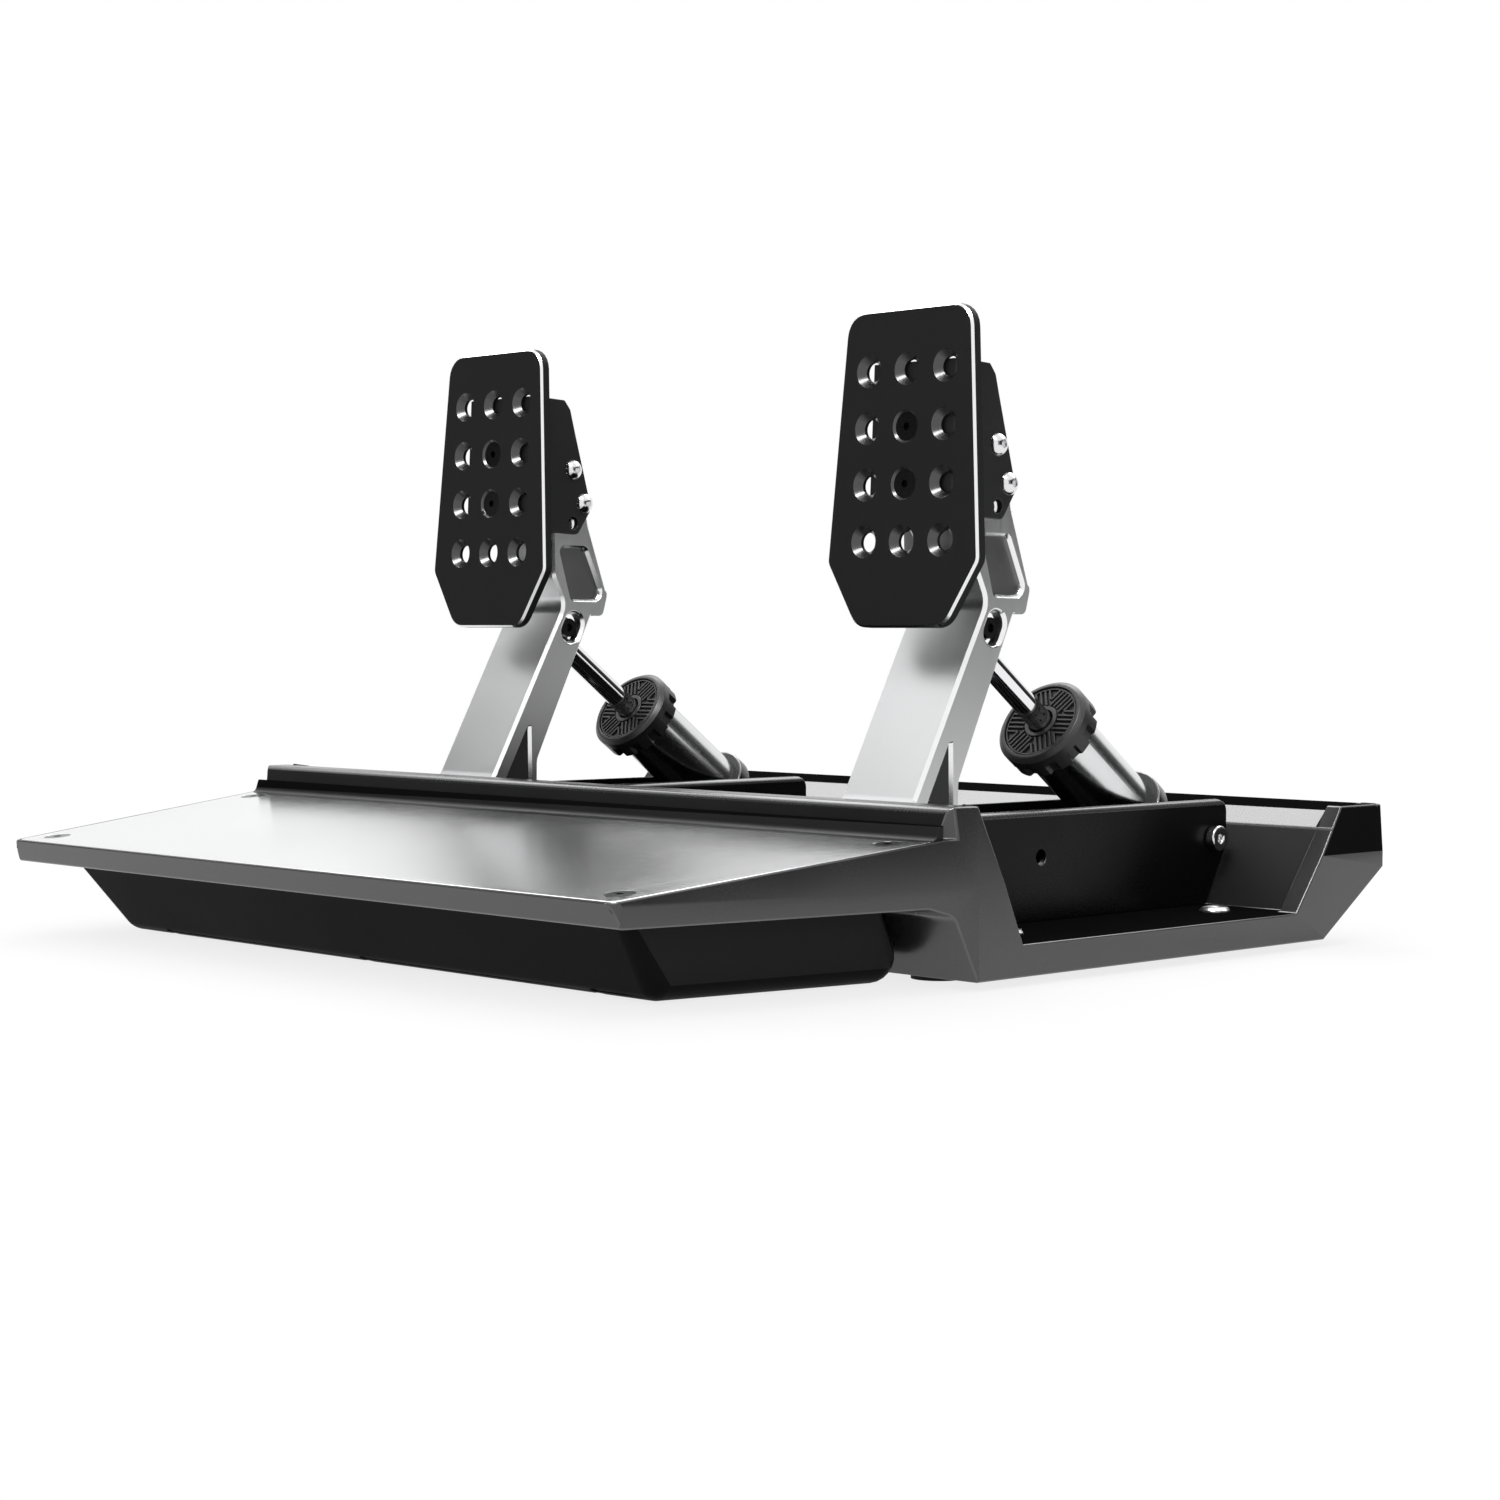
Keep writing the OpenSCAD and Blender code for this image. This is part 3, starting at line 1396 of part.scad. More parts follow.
module foot_pin(x) {
    color(steel)
        translate([x, foot_y, foot_z])
            x_bar(foot_pin_d - 2 * fit, eye_w + 2 * ear_gap + 2 * ear_t);
}

base_frame();
lower_tub();
heel_plate();
heel_plate_screws();
tub_screws();
rubber_feet();
rear_cover();
rear_cover_screws();
circuit_board();
board_screws();
pedal_sockets();
usb_socket();
bracket_bolts();
pivot_bushes();
foot_bolts();
sensor_housings();
pedal_bracket(brake_x);  // brake_bracket
pivot_shaft(brake_x);  // brake_shaft
shaft_screw(brake_x);  // brake_shaft_screw
shaft_magnet(brake_x);  // brake_magnet
pedal_arm(brake_x);  // brake_arm
arm_inlays(brake_x);  // brake_inlays
plate_bracket(brake_x);  // brake_plate_bracket
angle_screws(brake_x);  // brake_angle_screws
pedal_plate(brake_x);  // brake_plate
plate_screws(brake_x);  // brake_plate_screws
plate_nuts(brake_x);  // brake_plate_nuts
damper_rod(brake_x);  // brake_rod
rod_pin(brake_x);  // brake_rod_pin
rod_spacers(brake_x);  // brake_rod_spacers
damper_piston(brake_x);  // brake_piston
damper_cap(brake_x);  // brake_damper_cap
damper_cylinder(brake_x);  // brake_cylinder
damper_eye(brake_x);  // brake_damper_eye
brake_elastomers();
foot_block(brake_x, silver);  // brake_load_cell
foot_pin(brake_x);  // brake_foot_pin
pedal_bracket(throttle_x);  // throttle_bracket
pivot_shaft(throttle_x);  // throttle_shaft
shaft_screw(throttle_x);  // throttle_shaft_screw
shaft_magnet(throttle_x);  // throttle_magnet
pedal_arm(throttle_x);  // throttle_arm
arm_inlays(throttle_x);  // throttle_inlays
plate_bracket(throttle_x);  // throttle_plate_bracket
angle_screws(throttle_x);  // throttle_angle_screws
pedal_plate(throttle_x);  // throttle_plate
plate_screws(throttle_x);  // throttle_plate_screws
plate_nuts(throttle_x);  // throttle_plate_nuts
damper_rod(throttle_x);  // throttle_rod
rod_pin(throttle_x);  // throttle_rod_pin
rod_spacers(throttle_x);  // throttle_rod_spacers
damper_piston(throttle_x);  // throttle_piston
damper_cap(throttle_x);  // throttle_damper_cap
damper_cylinder(throttle_x);  // throttle_cylinder
damper_eye(throttle_x);  // throttle_damper_eye
throttle_spring();
foot_block(throttle_x, sheet_black);  // throttle_foot_block
foot_pin(throttle_x);  // throttle_foot_pin
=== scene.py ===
from math import cos, pi, radians, sin, sqrt

import bmesh
import bpy
from mathutils import Matrix, Vector


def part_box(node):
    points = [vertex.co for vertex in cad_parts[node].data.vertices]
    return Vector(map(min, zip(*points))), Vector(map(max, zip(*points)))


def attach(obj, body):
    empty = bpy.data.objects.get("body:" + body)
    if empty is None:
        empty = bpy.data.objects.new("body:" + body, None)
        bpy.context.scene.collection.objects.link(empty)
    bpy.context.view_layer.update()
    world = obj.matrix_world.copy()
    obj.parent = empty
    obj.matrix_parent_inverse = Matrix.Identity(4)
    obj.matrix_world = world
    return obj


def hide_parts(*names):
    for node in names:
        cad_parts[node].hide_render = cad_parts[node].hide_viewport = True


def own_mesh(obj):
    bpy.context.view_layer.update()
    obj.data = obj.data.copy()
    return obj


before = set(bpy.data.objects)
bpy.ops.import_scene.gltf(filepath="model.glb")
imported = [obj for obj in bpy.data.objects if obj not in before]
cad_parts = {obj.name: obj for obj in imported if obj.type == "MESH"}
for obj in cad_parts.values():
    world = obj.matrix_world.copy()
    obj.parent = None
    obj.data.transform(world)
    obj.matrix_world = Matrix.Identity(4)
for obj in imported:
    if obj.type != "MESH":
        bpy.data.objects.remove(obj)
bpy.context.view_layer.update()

# Base frame
# One moulding in dark glass-filled nylon: front rim, ridge, end cheeks, deck and rear wall. Its mould
# leaves a fine grain, small radii on every edge, and a faint polish where hands and shoes rub the edges.
mm = 0.001
scene = bpy.context.scene


def node(owner, kind, inputs, **settings):
    """Adds a shader node to a material or the world, gives its inputs their values or links, and returns
    its outputs by name."""
    made = owner.node_tree.nodes.new("ShaderNode" + kind)
    for name, value in settings.items():
        setattr(made, name, value)
    sockets = {s.identifier: s for s in made.inputs}
    for name, value in inputs.items():
        if isinstance(value, bpy.types.NodeSocket):
            owner.node_tree.links.new(value, sockets[name])
        else:
            sockets[name].default_value = value
    return {s.identifier: s for s in made.outputs}


def surface(name, colour, rough, metallic=0.0, specular=0.5, grain=(1600.0, 0.02 * mm), mottle=(28.0, 0.1),
            swing=0.06, rub=None, stretch=(1.0, 1.0, 1.0), turn=0.0):
    """A finish. grain is the fine texture's scale and height, mottle the scale and share of the uneven
    tone, swing how far the roughness strays, and rub the colour and roughness of worn edges. stretch
    and turn lay the grain along the piece."""
    m = bpy.data.materials.new(name)
    m.use_nodes = True
    shader = m.node_tree.nodes["Principled BSDF"]
    shader.inputs["Metallic"].default_value = metallic
    shader.inputs["Specular IOR Level"].default_value = specular
    place = node(m, "TexCoord", {})["Object"]
    along = node(m, "Mapping", {"Vector": place, "Rotation": (turn, 0.0, 0.0), "Scale": stretch})["Vector"]
    patch = node(m, "TexNoise", {"Vector": place, "Scale": mottle[0], "Detail": 4.0})["Fac"]
    fine = node(m, "TexNoise", {"Vector": along, "Scale": grain[0], "Detail": 3.0})["Fac"]
    dark = (*[c * (1.0 - mottle[1]) for c in colour], 1.0)
    pale = (*[min(1.0, c * (1.0 + mottle[1])) for c in colour], 1.0)
    tint = node(m, "Mix", {"Factor_Float": patch, "A_Color": dark, "B_Color": pale},
                data_type="RGBA")["Result_Color"]
    both = node(m, "Math", {"Value": patch, "Value_001": fine}, operation="ADD")["Value"]
    gloss = node(m, "MapRange", {"Value": both, "From Min": 0.6, "From Max": 1.4, "To Min": rough - swing,
                                 "To Max": rough + swing})["Result"]
    bump = node(m, "Bump", {"Strength": 1.0, "Distance": grain[1], "Height": fine})["Normal"]
    if rub:
        edge = node(m, "Attribute", {}, attribute_name="rub")["Fac"]
        worn = node(m, "Math", {"Value": edge, "Value_001": patch}, operation="MULTIPLY")["Value"]
        tint = node(m, "Mix", {"Factor_Float": worn, "A_Color": tint, "B_Color": (*rub[0], 1.0)},
                    data_type="RGBA")["Result_Color"]
        gloss = node(m, "Mix", {"Factor_Float": worn, "A_Float": gloss, "B_Float": rub[1]})["Result_Float"]
    for socket, value in (("Normal", bump), ("Base Color", tint), ("Roughness", gloss)):
        m.node_tree.links.new(value, shader.inputs[socket])
    return m


def merged(bm):
    bmesh.ops.remove_doubles(bm, verts=bm.verts, dist=0.002 * mm)
    return bm


def cad_copy(name):
    bm = bmesh.new()
    bm.from_mesh(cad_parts[name].data)
    return merged(bm)


def bevel(bm, edges, width, segments):
    return bmesh.ops.bevel(bm, geom=edges, offset=width, offset_type="OFFSET", segments=segments, profile=0.5,
                           affect="EDGES", clamp_overlap=False, material=-1)["faces"]


def softened(name, width, segments=2, angle=28.0, chosen=None, flatten=False):
    """A copy of a CAD solid with its sharp edges rounded. The new faces get the rub mark. flatten
    first joins the triangles of each flat face."""
    bm = cad_copy(name)
    if flatten:
        bmesh.ops.dissolve_limit(bm, angle_limit=radians(0.3), verts=bm.verts, edges=bm.edges)
    rub = bm.faces.layers.float.new("rub")
    sharp = [e for e in bm.edges if len(e.link_faces) == 2 and e.calc_face_angle(0.0) > radians(angle)
             and (chosen is None or chosen(e))]
    for face in bevel(bm, sharp, width, segments):
        face[rub] = 1.0
    bm.normal_update()
    return bm


def put(bm, name, body, finishes, nodes=(), sharp=35.0):
    """Makes the piece, lets it ride its body, and lets it stand for its CAD nodes."""
    for face in bm.faces:
        face.smooth = True
    mesh = bpy.data.meshes.new(name)
    bm.to_mesh(mesh)
    bm.free()
    mesh.set_sharp_from_angle(angle=radians(sharp))
    for finish in finishes:
        mesh.materials.append(finish)
    piece = bpy.data.objects.new(name, mesh)
    scene.collection.objects.link(piece)
    even = piece.modifiers.new("even", "WEIGHTED_NORMAL")
    even.keep_sharp = True
    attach(piece, body)
    if nodes:
        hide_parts(*nodes)
    return piece


def between(value, span):
    return span[0] < value < span[1]


moulding = surface("dark_moulding", (0.018, 0.018, 0.0185), 0.24, specular=0.85, grain=(1500.0, 0.005 * mm),
                   mottle=(22.0, 0.12), rub=((0.09, 0.09, 0.095), 0.22))
textured_black = surface("textured_black", (0.0055, 0.0055, 0.0055), 0.6, specular=0.0,
                         grain=(900.0, 0.04 * mm), mottle=(60.0, 0.2))
# A lighter, glossier copy of the moulding: a painted highlight on the ridge's rounded top and on the rear
# slope.
painted_highlight = surface("painted_highlight_moulding", (0.03, 0.03, 0.031), 0.25, specular=1.0, grain=(1500.0, 0.004 * mm),
                 mottle=(22.0, 0.12))
# A darker, less glossy copy of the moulding: painted shade on the bay's sloped walls and on the end facets.
painted_shade_wall = surface("painted_shade_wall_moulding", (0.009, 0.009, 0.0093), 0.5, specular=0.15, grain=(1500.0, 0.01 * mm),
                     mottle=(22.0, 0.12))
shaded = surface("shaded_moulding", (0.008, 0.008, 0.0082), 0.4, specular=0.2, grain=(1500.0, 0.008 * mm),
                 mottle=(22.0, 0.12))
base_finishes = [moulding, textured_black, painted_highlight, painted_shade_wall, shaded]

# Where each finish lies: places or spans along Y and Z, how far out along X, and how far a face leans
# forwards, as its normal's Y.
rim_y, rim_z = 163.0 * mm, 50.0 * mm
cheek_x, cheek_y, cheek_z = 188.0 * mm, 138.0 * mm, 34.5 * mm
bay_x, bay_y, bay_z = 189.0 * mm, (-46.0 * mm, 154.5 * mm), (13.8 * mm, 44.3 * mm)
end_x, end_y, end_z = 188.5 * mm, (120.0 * mm, 162.0 * mm), (15.0 * mm, 51.2 * mm)
ridge_y, ridge_z = (-64.0 * mm, -55.0 * mm), 50.0 * mm
roll_y, roll_z = (-62.5 * mm, -50.0 * mm), 57.2 * mm
slope_y = (154.0 * mm, 165.0 * mm)
bay_lean, end_lean, roll_lean, slope_lean = (-0.9, -0.8), (-0.80, -0.76), (-0.93, -0.02), (-0.60, -0.45)
square = 0.98
bm = softened("base_frame", width=0.6 * mm)
for f in bm.faces:
    middle = f.calc_center_median()
    level, lean = f.normal.z > square, f.normal.y
    on_rim = middle.y > rim_y and middle.z > rim_z and level
    on_cheek = (middle.y > cheek_y and middle.z > cheek_z and abs(f.normal.x) > square
                and abs(middle.x) > cheek_x)
    in_bay = between(middle.y, bay_y) and between(middle.z, bay_z) and abs(middle.x) < bay_x
    on_end = between(middle.y, end_y) and between(middle.z, end_z) and abs(middle.x) > end_x
    on_ridge = between(middle.y, ridge_y) and middle.z > ridge_z and lean < roll_lean[0]
    on_roll = between(middle.y, roll_y) and middle.z > roll_z and between(lean, roll_lean)
    on_slope = between(middle.y, slope_y) and between(lean, slope_lean) and f.normal.z > 0.8
    if on_rim or on_cheek or (in_bay and level):
        f.material_index = base_finishes.index(textured_black)
    # Painted shade on the bay's sloped walls and on the end facets.
    if (in_bay and between(lean, bay_lean)) or (on_end and between(lean, end_lean)):
        f.material_index = base_finishes.index(painted_shade_wall)
    if on_ridge:
        f.material_index = base_finishes.index(shaded)
    # Painted highlight on the ridge's rounded top and on the rear slope.
    if on_roll or on_slope:
        f.material_index = base_finishes.index(painted_highlight)
put(bm, "base_moulding", "base", base_finishes, ["base_frame"])

# Rig sleeves
# Turned steel sleeves stand in the four rig holes of the deck, so that the mounting bolts don't crush it.
# Each has a thin flange with a rounded crown, which rests on the deck.
sleeve_steel = surface("sleeve_steel", (0.8, 0.8, 0.8), 0.3, metallic=1.0, grain=(2600.0, 0.004 * mm),
                       mottle=(300.0, 0.05))
hole_x, hole_front, hole_rear, deck_z = 170.0 * mm, -5.0 * mm, 114.5 * mm, 14.0 * mm
bore_r, sleeve_r, flange_r = 3.4 * mm, 4.4 * mm, 5.6 * mm
sleeve_low, flange_low, flange_top = -2.2 * mm, 0.05 * mm, 0.7 * mm
crown = [(4.9 * mm, 1.6 * mm), (4.2 * mm, 1.8 * mm), (3.6 * mm, 1.6 * mm), (bore_r, 1.1 * mm)]
sleeve_profile = [(bore_r, sleeve_low), (sleeve_r, sleeve_low), (sleeve_r, flange_low),
                  (flange_r, flange_low), (flange_r, flange_top), *crown]


def lathe(bm, profile, x, y, base_z, steps):
    """Turns a closed profile, as radii and heights above base_z, round the upright line through x and y."""
    ring = [bm.verts.new((x + r, y, base_z + z)) for r, z in profile]
    edges = [bm.edges.new(pair) for pair in zip(ring, ring[1:] + ring[:1])]
    bmesh.ops.spin(bm, geom=ring + edges, cent=(x, y, 0), axis=(0, 0, 1), angle=2 * pi, steps=steps,
                   use_merge=True)


bm = bmesh.new()
for x in (-hole_x, hole_x):
    for y in (hole_front, hole_rear):
        lathe(bm, sleeve_profile, x, y, deck_z, steps=48)
merged(bm)
bmesh.ops.recalc_face_normals(bm, faces=bm.faces)
put(bm, "rig_sleeves", "base", [sleeve_steel], sharp=30.0)

# Lower tub
# A deep black moulding that closes the space below the heel plate. Six button screws hold it from below.
# Its two end faces are painted a little greyer, as painted light from the side.
tub_black = surface("tub_moulding", (0.006, 0.006, 0.0063), 0.45, specular=0.02, grain=(1500.0, 0.02 * mm),
                    mottle=(22.0, 0.12), rub=((0.02, 0.02, 0.02), 0.4))
painted_light_tub_end = surface("painted_light_tub_end", (0.017, 0.017, 0.0175), 0.5, specular=0.02, grain=(1500.0, 0.02 * mm),
                  mottle=(22.0, 0.12))
tub_finishes = [tub_black, painted_light_tub_end]
tub_end_x = 160.0 * mm
bm = softened("lower_tub", width=0.4 * mm, segments=1, angle=40.0)
for f in bm.faces:
    # Painted light: a greyer copy of the moulding on the two end faces.
    if abs(f.normal.x) > 0.9 and abs(f.calc_center_median().x) > tub_end_x:
        f.material_index = tub_finishes.index(painted_light_tub_end)
put(bm, "tub_shell", "base", tub_finishes, ["lower_tub"])


def paint(name, finish):
    """Gives a CAD solid its finish and leaves its shape alone."""
    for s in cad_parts[name].material_slots:
        s.link = "OBJECT"
        s.material = finish


screw_steel = surface("plated_steel", (0.5, 0.5, 0.51), 0.26, metallic=1.0, grain=(2600.0, 0.004 * mm),
                      mottle=(300.0, 0.12), swing=0.08)
paint("tub_screws", screw_steel)

# Rubber feet
# Eight soft pads, four pressed into the tub's floor and four below the deck. They are dull black rubber
# with a coarse grain.
foot_rubber = surface("foot_rubber", (0.018, 0.018, 0.018), 0.72, specular=0.3, grain=(900.0, 0.05 * mm),
                      mottle=(60.0, 0.2))
paint("rubber_feet", foot_rubber)

# Heel plate
# A sheet of satin anodised aluminium laid into the rim, with its rear edge bent up against the ridge. Four
# browned countersunk screws hold it. The bend is painted near black as the ridge's shade: the shaded moulding
# finish on its face and the textured black on its top edge.
heel_sheet = surface("heel_sheet", (0.77, 0.775, 0.78), 0.2, metallic=1.0, grain=(900.0, 0.001 * mm),
                     mottle=(14.0, 0.03), swing=0.03, rub=((0.9, 0.9, 0.9), 0.14), stretch=(0.2, 1.0, 1.0))
heel_finishes = [heel_sheet, shaded, textured_black]
screw_places = (Vector((161.6 * mm, -175.5 * mm)), Vector((177.9 * mm, -74.5 * mm)))
screw_clear = 6.5 * mm
bend_y, bend_z, bend_top = -69.0 * mm, 48.8 * mm, 53.0 * mm


def off_screws(e):
    corners = [Vector((abs(v.co.x), v.co.y)) for v in e.verts]
    return min((c - place).length for c in corners for place in screw_places) > screw_clear


bm = softened("heel_plate", width=0.35 * mm, chosen=off_screws)
for f in bm.faces:
    middle = f.calc_center_median()
    # Painted shade on the bend: the moulding's shaded finish on its face, the textured black on its top edge.
    if middle.y > bend_y and middle.z > bend_z:
        at_top = f.normal.z > 0.2 and middle.z > bend_top
        f.material_index = heel_finishes.index(textured_black if at_top else shaded)
put(bm, "heel_sheet_plate", "base", heel_finishes, ["heel_plate"])
browned = surface("browned_steel", (0.06, 0.06, 0.062), 0.25, metallic=1.0, grain=(2600.0, 0.004 * mm),
                  mottle=(300.0, 0.12))
paint("heel_plate_screws", browned)

# Rear cover, board and sockets
# A black panel closes the slope below the rear wall. Behind the wall a small circuit board carries two
# modular sockets and one USB socket, which open in the rear face.
put(softened("rear_cover", width=0.4 * mm), "rear_panel", "base", [tub_black], ["rear_cover"])
paint("rear_cover_screws", screw_steel)
board = surface("solder_mask", (0.012, 0.09, 0.045), 0.32, grain=(700.0, 0.02 * mm), mottle=(240.0, 0.35))
paint("circuit_board", board)
paint("board_screws", screw_steel)
socket_black = surface("socket_moulding", (0.016, 0.016, 0.016), 0.35, grain=(1800.0, 0.01 * mm),
                       rub=((0.06, 0.06, 0.06), 0.25))
put(softened("pedal_sockets", width=0.3 * mm), "modular_sockets", "base", [socket_black],
    ["pedal_sockets"])
socket_steel = surface("socket_shell", (0.62, 0.62, 0.63), 0.3, metallic=1.0, grain=(2200.0, 0.004 * mm))
paint("usb_socket", socket_steel)

# Brackets
# Each pedal stands in a U folded from 2.5 mm steel, powder coated in satin black and bolted to the deck.
# The rounded top edges have a glossier coat, and their colour is painted lighter: a painted highlight.
black_steel = surface("powder_coat", (0.0025, 0.0025, 0.0026), 0.3, specular=0.14, grain=(1300.0, 0.02 * mm),
                      mottle=(30.0, 0.15), rub=((0.02, 0.02, 0.02), 0.2))
painted_highlight_edge = surface("painted_highlight_edge", (0.035, 0.035, 0.035), 0.25, specular=0.9, grain=(1300.0, 0.004 * mm),
                    mottle=(30.0, 0.15))
bracket_finishes = [black_steel, painted_highlight_edge]
pedals = ("brake", "throttle")
wall_t, fold_h = 2.4 * mm, 10.0 * mm
for p in pedals:
    lo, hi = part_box(p + "_bracket")
    bm = softened(p + "_bracket", width=0.35 * mm)
    for f in bm.faces:
        middle = f.calc_center_median()
        in_wall = min(hi.x - middle.x, middle.x - lo.x) < wall_t and middle.z > lo.z + fold_h
        # Painted highlight on the rounded top edges of the walls.
        if in_wall and 0.1 < f.normal.z < 0.995 and 0.1 < abs(f.normal.x):
            f.material_index = bracket_finishes.index(painted_highlight_edge)
    put(bm, p + "_steel_bracket", "base", bracket_finishes, [p + "_bracket"])
paint("bracket_bolts", screw_steel)

# Pivot
# A steel shaft turns in two flanged bronze bushes, and a washer and screw end it on the near side. On the
# far side a magnet on its end turns under a small sensor housing, which reads its angle.
bronze = surface("bush_bronze", (0.5, 0.33, 0.15), 0.34, metallic=1.0, grain=(1800.0, 0.008 * mm),
                 mottle=(200.0, 0.15))
paint("pivot_bushes", bronze)
magnet = surface("plated_magnet", (0.7, 0.7, 0.7), 0.16, metallic=1.0, grain=(2000.0, 0.002 * mm))
sensor_black = surface("sensor_moulding", (0.018, 0.018, 0.018), 0.4, grain=(1700.0, 0.02 * mm),
                       rub=((0.07, 0.07, 0.07), 0.28))
put(softened("sensor_housings", width=0.8 * mm), "angle_sensors", "base", [sensor_black],
    ["sensor_housings"])
for p in pedals:
    paint(p + "_shaft", screw_steel)
    paint(p + "_shaft_screw", screw_steel)
    paint(p + "_magnet", magnet)

# Arms
# Each arm is machined from aluminium: a channel with a web in front, a head with a shallow pocket in each
# side, and a window for the rod's pin. Its long edges are broken and polished bright. Two black moulded
# inlays are set into it.
silver = surface("satin_aluminium", (0.74, 0.745, 0.75), 0.33, metallic=1.0, grain=(700.0, 0.005 * mm),
                 mottle=(24.0, 0.05), swing=0.05, rub=((0.93, 0.93, 0.93), 0.12), stretch=(1.0, 1.0, 0.12),
                 turn=radians(-26.5))
inlay_black = surface("inlay_moulding", (0.02, 0.02, 0.02), 0.5, specular=0.3, grain=(1500.0, 0.02 * mm),
                      rub=((0.06, 0.06, 0.06), 0.35))
# A dark grey copy of the metal: painted shade on the floors of the head's pockets.
pocket_shade = surface("painted_shade_pocket", (0.2, 0.2, 0.203), 0.4, metallic=1.0, grain=(1500.0, 0.01 * mm),
                      mottle=(90.0, 0.08))
cut_bright = surface("cut_edge", (0.86, 0.86, 0.865), 0.2, metallic=1.0, grain=(3000.0, 0.002 * mm),
                     mottle=(300.0, 0.03), swing=0.03)
arm_finishes = [silver, pocket_shade, cut_bright]
arm_half, near_side, head_z = 17.5 * mm, 17.4 * mm, 130.0 * mm
pocket_floor, pocket_wall = 15.3 * mm, (15.5 * mm, 17.4 * mm)
window_at, window_reach, window_side = Vector((15.5 * mm, 124.0 * mm)), 12.5 * mm, 16.5 * mm
cut_width, round_width, least_length = 1.2 * mm, 0.8 * mm, 4.0 * mm


def pocket_rim(e, mid):
    on_side = all(abs(abs(v.co.x - mid) - arm_half) < 0.05 * mm and v.co.z > head_z for v in e.verts)
    return on_side and any(between(abs(f.calc_center_median().x - mid), pocket_wall) for f in e.link_faces)


def front_edge(e, mid):
    joins_front = any(f.normal.y < -0.5 for f in e.link_faces)
    joins_side = any(abs(f.normal.x) > 0.99 for f in e.link_faces)
    return joins_front and joins_side and all(abs(v.co.x - mid) > near_side for v in e.verts)


def window_rim(e, mid):
    return all(abs(v.co.x - mid) > window_side and (v.co.yz - window_at).length < window_reach
               for v in e.verts)


for p in pedals:
    lo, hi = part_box(p + "_arm")
    mid = (lo.x + hi.x) / 2
    bm = softened(p + "_arm", width=cut_width, segments=1, angle=57.0, flatten=True,
                  chosen=lambda e: pocket_rim(e, mid) or front_edge(e, mid))
    rub = bm.faces.layers.float["rub"]
    for f in bm.faces:
        if f[rub] > 0.5:
            f.material_index = arm_finishes.index(cut_bright)
    rest = [e for e in bm.edges if e.calc_face_angle(0.0) > radians(28.0)
            and (e.calc_length() > least_length or window_rim(e, mid))
            and not any(f[rub] > 0.5 for f in e.link_faces)]
    for f in bevel(bm, rest, round_width, segments=3):
        f[rub] = 1.0
    bm.normal_update()
    # Painted shade: the pocket floors get the dark grey metal.
    for f in bm.faces:
        deep = abs(f.calc_center_median().x - mid)
        if abs(f.normal.x) > 0.99 and abs(deep - pocket_floor) < 0.2 * mm:
            f.material_index = arm_finishes.index(pocket_shade)
    put(bm, p + "_machined_arm", p + "_pedal", arm_finishes, [p + "_arm"])
    put(softened(p + "_inlays", width=0.2 * mm), p + "_arm_inlays", p + "_pedal",
        [inlay_black], [p + "_inlays"])

# Plate brackets
# A sheet of 2.5 mm aluminium, anodised black and folded round the arm's head. Two button screws on each
# side fix it.
sheet_black = surface("black_sheet", (0.012, 0.012, 0.0125), 0.42, specular=0.3, grain=(1300.0, 0.015 * mm),
                      mottle=(30.0, 0.15), rub=((0.035, 0.035, 0.036), 0.3))
bright_screw = surface("bright_screw", (0.78, 0.78, 0.79), 0.16, metallic=1.0, grain=(2600.0, 0.003 * mm),
                       mottle=(200.0, 0.06), swing=0.04)
for p in pedals:
    put(softened(p + "_plate_bracket", width=0.3 * mm), p + "_folded_bracket", p + "_pedal",
        [sheet_black], [p + "_plate_bracket"])
    paint(p + "_angle_screws", bright_screw)

# Pedal plates
# Plates of 4 mm aluminium in matte black anodising. The outline's front edge is cut bare and bright after
# the anodising, and the dish round each hole is smooth. Two black countersunk screws hold each plate.
plate_black = surface("matte_anodising", (0.0125, 0.0125, 0.013), 0.55, specular=0.08,
                      grain=(1800.0, 0.01 * mm), mottle=(26.0, 0.08))
dish_black = surface("dish_anodising", (0.012, 0.012, 0.012), 0.24, specular=1.0, grain=(2500.0, 0.003 * mm),
                     mottle=(200.0, 0.1), swing=0.04)
black_screw = surface("black_oxide", (0.03, 0.03, 0.03), 0.3, metallic=1.0, grain=(2600.0, 0.004 * mm))
plate_finishes = [plate_black, cut_bright, dish_black]
plate_cut, plate_lean, square_angle = 0.8 * mm, radians(2.3), 1.2
upright = Matrix.Rotation(plate_lean, 4, "X")
